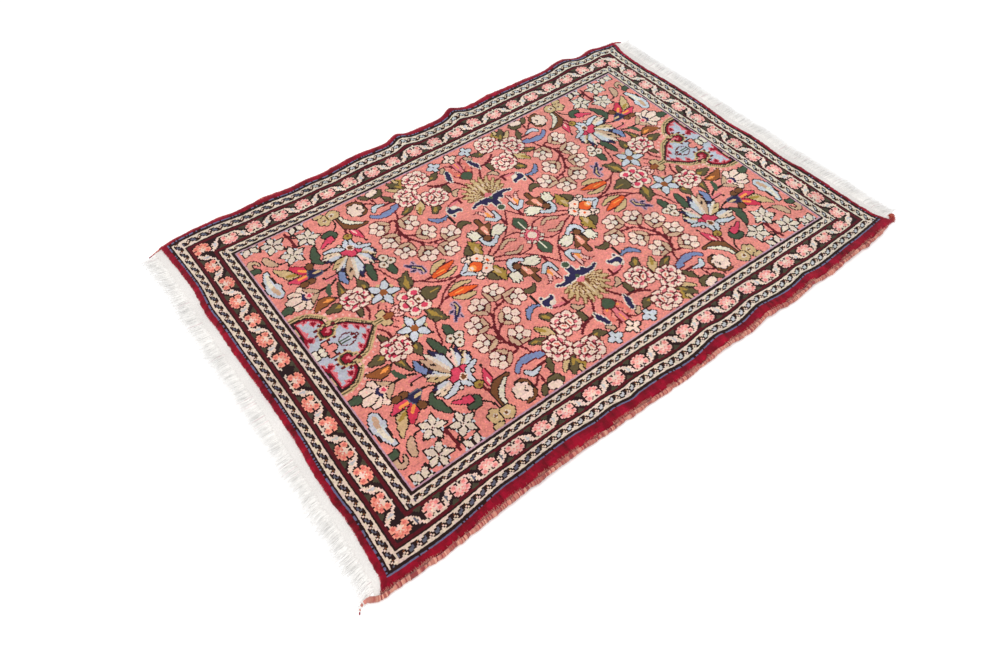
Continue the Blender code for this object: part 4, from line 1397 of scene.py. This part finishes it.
def warp_roots(rim, edge, way, v):
    """Where the end web stops and the loose warps start, at places along the rug's end."""
    return FIELD_X + rim + WEB_FOLLOW * (read_edge(edge, 1, v) - rim) + way * WEB_WIDTH


def build_web(name, rim, edge, way, material, replaced):
    """Flat woven end: wefts run along the rug's end and the warps pass over and under them."""
    count = int((BODY_BACK - BODY_FRONT) / WEB_CELL)
    picks = int(WEB_WIDTH / WEB_CELL)
    v = np.linspace(BODY_FRONT, BODY_BACK, count)
    x, y, _ = lay(np.full(count, rim), v)
    at_pile = stack(x - way * WEB_TUCK, y, np.zeros(count))
    at_warps = stack(warp_roots(rim, edge, way, v), y, np.zeros(count))
    share = np.linspace(0.0, 1.0, picks)[:, None, None]
    points = at_pile * (1.0 - share) + at_warps * share
    row, column = np.indices(points.shape[:2])
    relief = 1.0 - WEB_RELIEF + WEB_RELIEF * ((row + column) % 2)
    level = WEB_THICKNESS * (1.0 - WEB_THINNING * share[..., 0] ** 2)
    points[..., 2] = level * relief + rng.normal(0.0, WEB_UNEVEN, relief.shape)
    points[..., :2] += rng.normal(0.0, WEB_STRAY, points[..., :2].shape)
    points[0, :, 2] = WEB_FOOT
    points[:, [0, -1], 2] = BACK_LEVEL
    faces = grid_faces(picks, count)[:, ::way]

    inward = np.repeat((share[:-1, 0, 0] + share[1:, 0, 0]) / 2, count - 1)
    along = np.tile(np.arange(count - 1), picks - 1)
    blot = WEB_BLOT * np.sin(0.021 * along + way) * np.sin(0.057 * along + 2.0)
    bled = WEB_BLEED - inward * WEB_BLEED_LOSS + blot + rng.normal(0.0, 0.2, len(faces))
    bled = np.clip(bled, 0.0, 1.0)[:, None]
    colors = linear(WEB_COTTON) * (1.0 - bled) + linear(BLED_COTTON) * bled
    colors = colors * rng.normal(1.0, WEB_TONE, (len(faces), 1))
    return new_piece(name, points.reshape(-1, 3), [faces], colors, material, [replaced])


def beside_tail(tail, beyond):
    """How far a cord's loose end stands aside at places beyond the rim."""
    places, asides = zip((0.0, 0.0), *[(row[0] * MM, row[1] * MM) for row in tail])
    return np.interp(beyond, places, asides)


def build_fringe(name, rim, edge, way, tails, material):
    """Loose warps: a dense mat of yarns in bundles, which sway together and lie two deep."""
    front, back = lay(rim, BODY_FRONT)[1], lay(rim, BODY_BACK)[1]
    n = np.arange(STRAND_COUNT)[:, None]
    along = n / (STRAND_COUNT - 1)
    root_y = front + (back - front) * along
    root_x = warp_roots(rim, edge, way, root_y - FIELD_Y)
    pitch = (back - front) / (STRAND_COUNT - 1)
    fan = STRAND_LEAN * (2.0 * along - 1.0)
    lean = fan + STRAND_SWAY * (np.sin(0.37 * n + way) + np.sin(0.91 * n))
    sway = STRAND_SWAY * (np.sin(0.13 * n + way) + np.sin(0.31 * n + 1.0))
    k = np.linspace(0.0, 1.0, YARN_STATIONS)
    middle = (k[1:] + k[:-1]) / 2
    paths, radii, shades = [], [], []
    for yarn in range(YARNS_PER_BUNDLE):
        side = (yarn + 0.5) / YARNS_PER_BUNDLE - 0.5
        trim, bend, curl, stray, gap, girth = rng.normal(0.0, 1.0, (6, STRAND_COUNT, 1))
        length = STRAND_LENGTH * (1.0 - YARN_TRIM + YARN_TRIM * np.clip(trim, -3.0, 1.6))
        inside = rng.uniform(1.0, 5.0, (STRAND_COUNT, 1)) * MM
        x = root_x + way * (length * k - inside * (1.0 - k))
        # a yarn leans and sways with its bundle, and curls and strays on its own
        y = root_y + side * pitch + lean * np.clip(1.35 * k - 0.12, 0.0, 1.0) ** 1.5
        y = y + sway * np.sin(2 * math.pi * k + 0.4 * bend) * k * 1.6
        y = y + YARN_CURL * curl * np.sin(5.0 * math.pi * k) + YARN_STRAY * stray * k**2
        beyond = np.abs(x - FIELD_X - rim)
        low = front + beside_tail(tails[0], beyond) + TAIL_ROOM[0] + MM * np.abs(gap)
        high = back + beside_tail(tails[1], beyond) - TAIL_ROOM[1] - MM * np.abs(gap)
        y = np.clip(y, low, high)
        lower = rng.uniform(0.0, 1.0, (STRAND_COUNT, 1)) < LOWER_SHARE
        z = YARN_LEVEL + np.where(lower, 0.0, YARN_ARCH) * np.sin(math.pi * k) ** 0.5
        paths.append(stack(x, y, z + 0.2 * MM * (1.0 - k)))
        slim = np.minimum(1.0, 0.6 + 3.0 * k) * (1.0 - 0.7 * k**2)
        radii.append(YARN_RADIUS * (1.0 + 0.1 * girth) * slim)
        shaded = YARN_SHADE * lower * np.clip(np.sin(1.25 * math.pi * middle), 0.0, 1.0)
        tone = (1.0 - shaded) * (1.0 + YARN_TONE * curl)
        stained = (rng.uniform(0.0, 1.0, (STRAND_COUNT, 1)) < STAINED_SHARE)[..., None]
        cotton = np.where(stained, linear(BLED_COTTON), linear(COTTON))
        # painted highlight: each yarn turns paler towards its tip
        cotton = cotton * (1.0 - middle[:, None] ** 2) + linear(COTTON_TIP_HIGHLIGHT) * middle[:, None] ** 2
        shades.append(cotton * tone[..., None])
    paths, radii, shades = (np.concatenate(part) for part in (paths, radii, shades))
    points, quads, caps = tubes(paths, radii, YARN_SIDES)
    points[:, 2] = np.maximum(points[:, 2], LOWEST_WARP)
    sides = np.repeat(shades.reshape(-1, 3), YARN_SIDES, axis=0)
    colors = np.concatenate([sides, shades[:, 0], shades[:, -1]])
    return new_piece(name, points, [np.concatenate([quads, caps])], colors, material)


# ---------------------------------------------------------------- stray fibres

def build_fuzz(name, roots, ways, lengths, width, droop, colors, material):
    """Short curved fibres: three-sided spikes from their roots, each leaning its own way."""
    count = len(roots)
    k = np.array(FIBRE_PLACES)
    droop = rng.uniform(0.3 * droop, droop, (count, 1)) * lengths[:, None]
    paths = roots[:, None] + ways[:, None] * (lengths[:, None] * k)[..., None]
    paths[..., 2] = np.maximum(paths[..., 2] - droop * k**2, LOWEST_FIBRE)
    radii = width * np.array(FIBRE_TAPER)[None] * np.ones((count, 1))
    points, quads, caps = tubes(paths, radii, 3)
    per_tube = len(quads) // count
    colors = np.concatenate([np.repeat(colors, per_tube, axis=0), colors, colors])
    return new_piece(name, points, [quads, caps], colors, material)


def rim_fibres(rim_u, rim_v, outward, count):
    """Roots and directions of pile fibres along one rim of the body."""
    pick = rng.uniform(0, len(rim_u) - 1, count)
    u = np.interp(pick, np.arange(len(rim_u)), rim_u)
    v = np.interp(pick, np.arange(len(rim_v)), rim_v)
    x, y, lift = lay(u, v)
    roots = stack(x, y, lift + rng.uniform(1.5 * MM, EDGE_HEIGHT, count))
    ways = np.array([*outward, 0.0]) + rng.normal(0.0, 0.35, (count, 3))
    ways[:, 2] = np.abs(ways[:, 2]) * 0.8 - 0.15
    return roots, unit(ways)


def build_rim_fuzz(material):
    """Crimson fibres that stand out of the pile's four rims, painted paler than the pile as a painted
    highlight.
    """
    columns, rows = np.linspace(BODY_LEFT, BODY_RIGHT, 400), np.linspace(BODY_FRONT, BODY_BACK, 300)
    # rim, outwards, fibres, longest fibre in millimetres
    sides = (
        (columns, np.full_like(columns, BODY_FRONT), (0.0, -1.0), 3800, 4.4),
        (columns, np.full_like(columns, BODY_BACK), (0.0, 1.0), 4600, 6.0),
        (np.full_like(rows, BODY_LEFT), rows, (-1.0, 0.0), 2700, 4.4),
        (np.full_like(rows, BODY_RIGHT), rows, (1.0, 0.0), 2700, 4.4),
    )
    roots, ways = zip(*[rim_fibres(*side[:4]) for side in sides])
    roots, ways = np.concatenate(roots), np.concatenate(ways)
    roots = roots - ways * RIM_FIBRE_ROOT
    lengths = np.concatenate([rng.uniform(1.6, side[4], side[3]) for side in sides]) * MM
    shades = pick_shades(BRIGHTENED_FUZZ_SHADES, len(roots))
    return build_fuzz("rim_fuzz", roots, ways, lengths, RIM_FIBRE, 0.5, shades, material)


def build_stitches(material):
    """Loose yarn of the front cord's overcasting, drawn up over the pile's rim in clumps."""
    u = rng.uniform(BODY_LEFT, BODY_RIGHT - 30.0 * MM, 3 * STITCH_COUNT)
    clump = np.sin(u / (9.0 * MM)) + np.sin(u / (23.0 * MM) + 1.0) + rng.normal(0.0, 0.9, len(u))
    u = np.sort(u[clump > np.quantile(clump, 2 / 3)])
    x, y, lift = lay(u, np.full(len(u), BODY_FRONT))
    y = y - rng.uniform(0.5, 2.5, len(u)) * MM
    roots = stack(x, y, lift + EDGE_HEIGHT + rng.uniform(-1.6, 0.2, len(u)) * MM)
    ways = unit((0.0, 1.0, 0.42) + rng.normal(0.0, 0.16, (len(u), 3)) * (2.2, 1.0, 1.0))
    lengths = rng.uniform(2.5, 7.0, len(u)) * MM
    shades = pick_shades(FRONT_WRAP_SHADES, len(u))
    return build_fuzz("overcast_stitches", roots, ways, lengths, STITCH_FIBRE, 0.15, shades, material)


def build_tuft(material):
    """The frayed tuft round the front cord's right loose end."""
    end = cord_line(-1, SELVEDGE_FRONT_RADIUS, FRONT_LEFT_TAIL, FRONT_RIGHT_TAIL)[-5:, :3]
    at = rng.uniform(0.6, len(end) - 1.0, TUFT_FIBRES)
    roots = stack(*[np.interp(at, np.arange(len(end)), line) for line in end.T])
    ways = unit(rng.normal(0.0, 1.0, (TUFT_FIBRES, 3)) + (0.2, 0.0, 0.2))
    lengths = rng.uniform(3.0, 8.5, TUFT_FIBRES) * MM
    shades = pick_shades(TUFT_SHADES, TUFT_FIBRES)
    return build_fuzz("corner_tuft", roots, ways, lengths, TUFT_FIBRE, 0.4, shades, material)


# ---------------------------------------------------------------- finishes

def feed(tree, node, inputs):
    """Sets a node's inputs by name, or links them where the value is another node's output."""
    for name, value in inputs.items():
        if isinstance(value, bpy.types.NodeSocket):
            tree.links.new(value, node.inputs[name])
        else:
            node.inputs[name].default_value = value


def add_node(tree, kind, inputs=(), operation=None):
    """A new node with its inputs fed."""
    node = tree.nodes.new(kind)
    if operation:
        node.operation = operation
    feed(tree, node, dict(inputs))
    return node


def mottle(tree, place, scale, detail, spread, tones):
    """Noise at one scale, and a tone between the two given ones that follows it."""
    noise = add_node(tree, "ShaderNodeTexNoise", {"Vector": place, "Scale": scale, "Detail": detail})
    tone = add_node(tree, "ShaderNodeMapRange", {
        "Value": noise.outputs["Fac"], "From Min": spread[0], "From Max": spread[1],
        "To Min": tones[0], "To Max": tones[1],
    })
    return noise.outputs["Fac"], tone.outputs["Result"]


def yarn_material(name, grain, relief, sheen, roughness):
    """Matte yarn: the colour of each face, mottled along its fibres, with a soft nap."""
    material = bpy.data.materials.new(name)
    material.use_nodes = True
    tree = material.node_tree
    place = add_node(tree, "ShaderNodeTexCoord").outputs["Object"]
    yarn = add_node(tree, "ShaderNodeAttribute")
    yarn.attribute_name = "yarn"
    fibre, fibre_tone = mottle(tree, place, grain, 3.0, (0.25, 0.75), (0.80, 1.16))
    _, patch_tone = mottle(tree, place, PATCH_SCALE, 2.0, (0.3, 0.7), (0.94, 1.05))
    tone = add_node(tree, "ShaderNodeMath", {0: fibre_tone, 1: patch_tone}, "MULTIPLY")
    tinted = {0: yarn.outputs["Color"], "Scale": tone.outputs["Value"]}
    shade = add_node(tree, "ShaderNodeVectorMath", tinted, "SCALE")
    bump = add_node(tree, "ShaderNodeBump", {"Strength": 0.8, "Distance": relief, "Height": fibre})
    feed(tree, tree.nodes["Principled BSDF"], {
        "Base Color": shade.outputs["Vector"], "Normal": bump.outputs["Normal"],
        "Roughness": roughness, "Specular IOR Level": 0.15,
        "Sheen Weight": sheen, "Sheen Roughness": 0.5,
    })
    return material


# ---------------------------------------------------------------- floor, light and camera

def build_studio():
    """A white floor under a wide soft light."""
    bpy.ops.mesh.primitive_plane_add(size=FLOOR_SIZE, location=(0.0, 0.0, -0.3 * MM))
    floor = bpy.context.object
    floor.name = "floor"
    paper = bpy.data.materials.new("floor_paper")
    paper.use_nodes = True
    feed(paper.node_tree, paper.node_tree.nodes["Principled BSDF"], {
        "Base Color": (0.97, 0.97, 0.97, 1.0), "Roughness": 0.9,
        "Emission Color": (1.0, 1.0, 1.0, 1.0), "Emission Strength": FLOOR_GLOW,
    })
    floor.data.materials.append(paper)

    world = bpy.data.worlds.new("studio")
    world.use_nodes = True
    sky = {"Color": (1.0, 1.0, 1.0, 1.0), "Strength": SKY_STRENGTH}
    feed(world.node_tree, world.node_tree.nodes["Background"], sky)
    bpy.context.scene.world = world

    lamp = bpy.data.lights.new("softbox", "AREA")
    lamp.shape = "RECTANGLE"
    lamp.size, lamp.size_y = LAMP_SIZE
    lamp.energy = LAMP_POWER
    softbox = bpy.data.objects.new("softbox", lamp)
    softbox.location = LAMP_PLACE
    softbox.rotation_mode = "QUATERNION"
    softbox.rotation_quaternion = softbox.location.to_track_quat("Z", "Y")
    bpy.context.scene.collection.objects.link(softbox)
    bpy.context.scene.view_settings.view_transform = "Standard"


def build_camera():
    """The photograph's view: from the front left, looking down across the rug."""
    lens = bpy.data.cameras.new("camera")
    lens.sensor_fit = "HORIZONTAL"
    lens.sensor_width = 36.0
    lens.lens = CAMERA_LENS
    lens.clip_start, lens.clip_end = 0.05, 30.0
    camera = bpy.data.objects.new("camera", lens)
    right, down, ahead = np.array(CAMERA_AXES)
    matrix = np.eye(4)
    matrix[:3] = stack(right, -down, -ahead, CAMERA_PLACE)
    camera.matrix_world = Matrix(matrix.tolist())
    bpy.context.scene.collection.objects.link(camera)
    bpy.context.scene.camera = camera


# ---------------------------------------------------------------- the rug

build_camera()
build_studio()
cartoon = draw_cartoon()
wool = yarn_material("wool_pile", 700.0, 0.7 * MM, 0.1, 0.95)
knots = yarn_material("knotted_back", 500.0, 0.3 * MM, 0.1, 0.9)
wraps = yarn_material("overcast_wool", 900.0, 0.4 * MM, 0.3, 0.9)
cotton = yarn_material("cotton", 900.0, 0.3 * MM, 0.15, 0.85)

field, border = build_pile(cartoon, wool)
back = build_back(cartoon, knots)
front_cord = build_selvedge(
    "selvedge_front_wraps", -1, SELVEDGE_FRONT_RADIUS, (FRONT_LEFT_TAIL, FRONT_RIGHT_TAIL),
    FRONT_END_WRAPS, FRONT_WRAP_SHADES, wraps,
)
back_cord = build_selvedge(
    "selvedge_back_wraps", 1, SELVEDGE_BACK_RADIUS, (BACK_LEFT_TAIL, BACK_RIGHT_TAIL),
    BACK_END_WRAPS, BACK_WRAP_SHADES, wraps,
)
left_web = build_web("web_left", BODY_LEFT, LEFT_EDGE, -1, cotton, "fringe_left")
right_web = build_web("web_right", BODY_RIGHT, RIGHT_EDGE, 1, cotton, "fringe_right")
left_fringe = build_fringe(
    "fringe_left_yarns", BODY_LEFT, LEFT_EDGE, -1, (FRONT_LEFT_TAIL, BACK_LEFT_TAIL), cotton
)
right_fringe = build_fringe(
    "fringe_right_yarns", BODY_RIGHT, RIGHT_EDGE, 1, (FRONT_RIGHT_TAIL, BACK_RIGHT_TAIL), cotton
)
fuzz = build_rim_fuzz(wool)
stitches = build_stitches(wraps)
tuft = build_tuft(wraps)
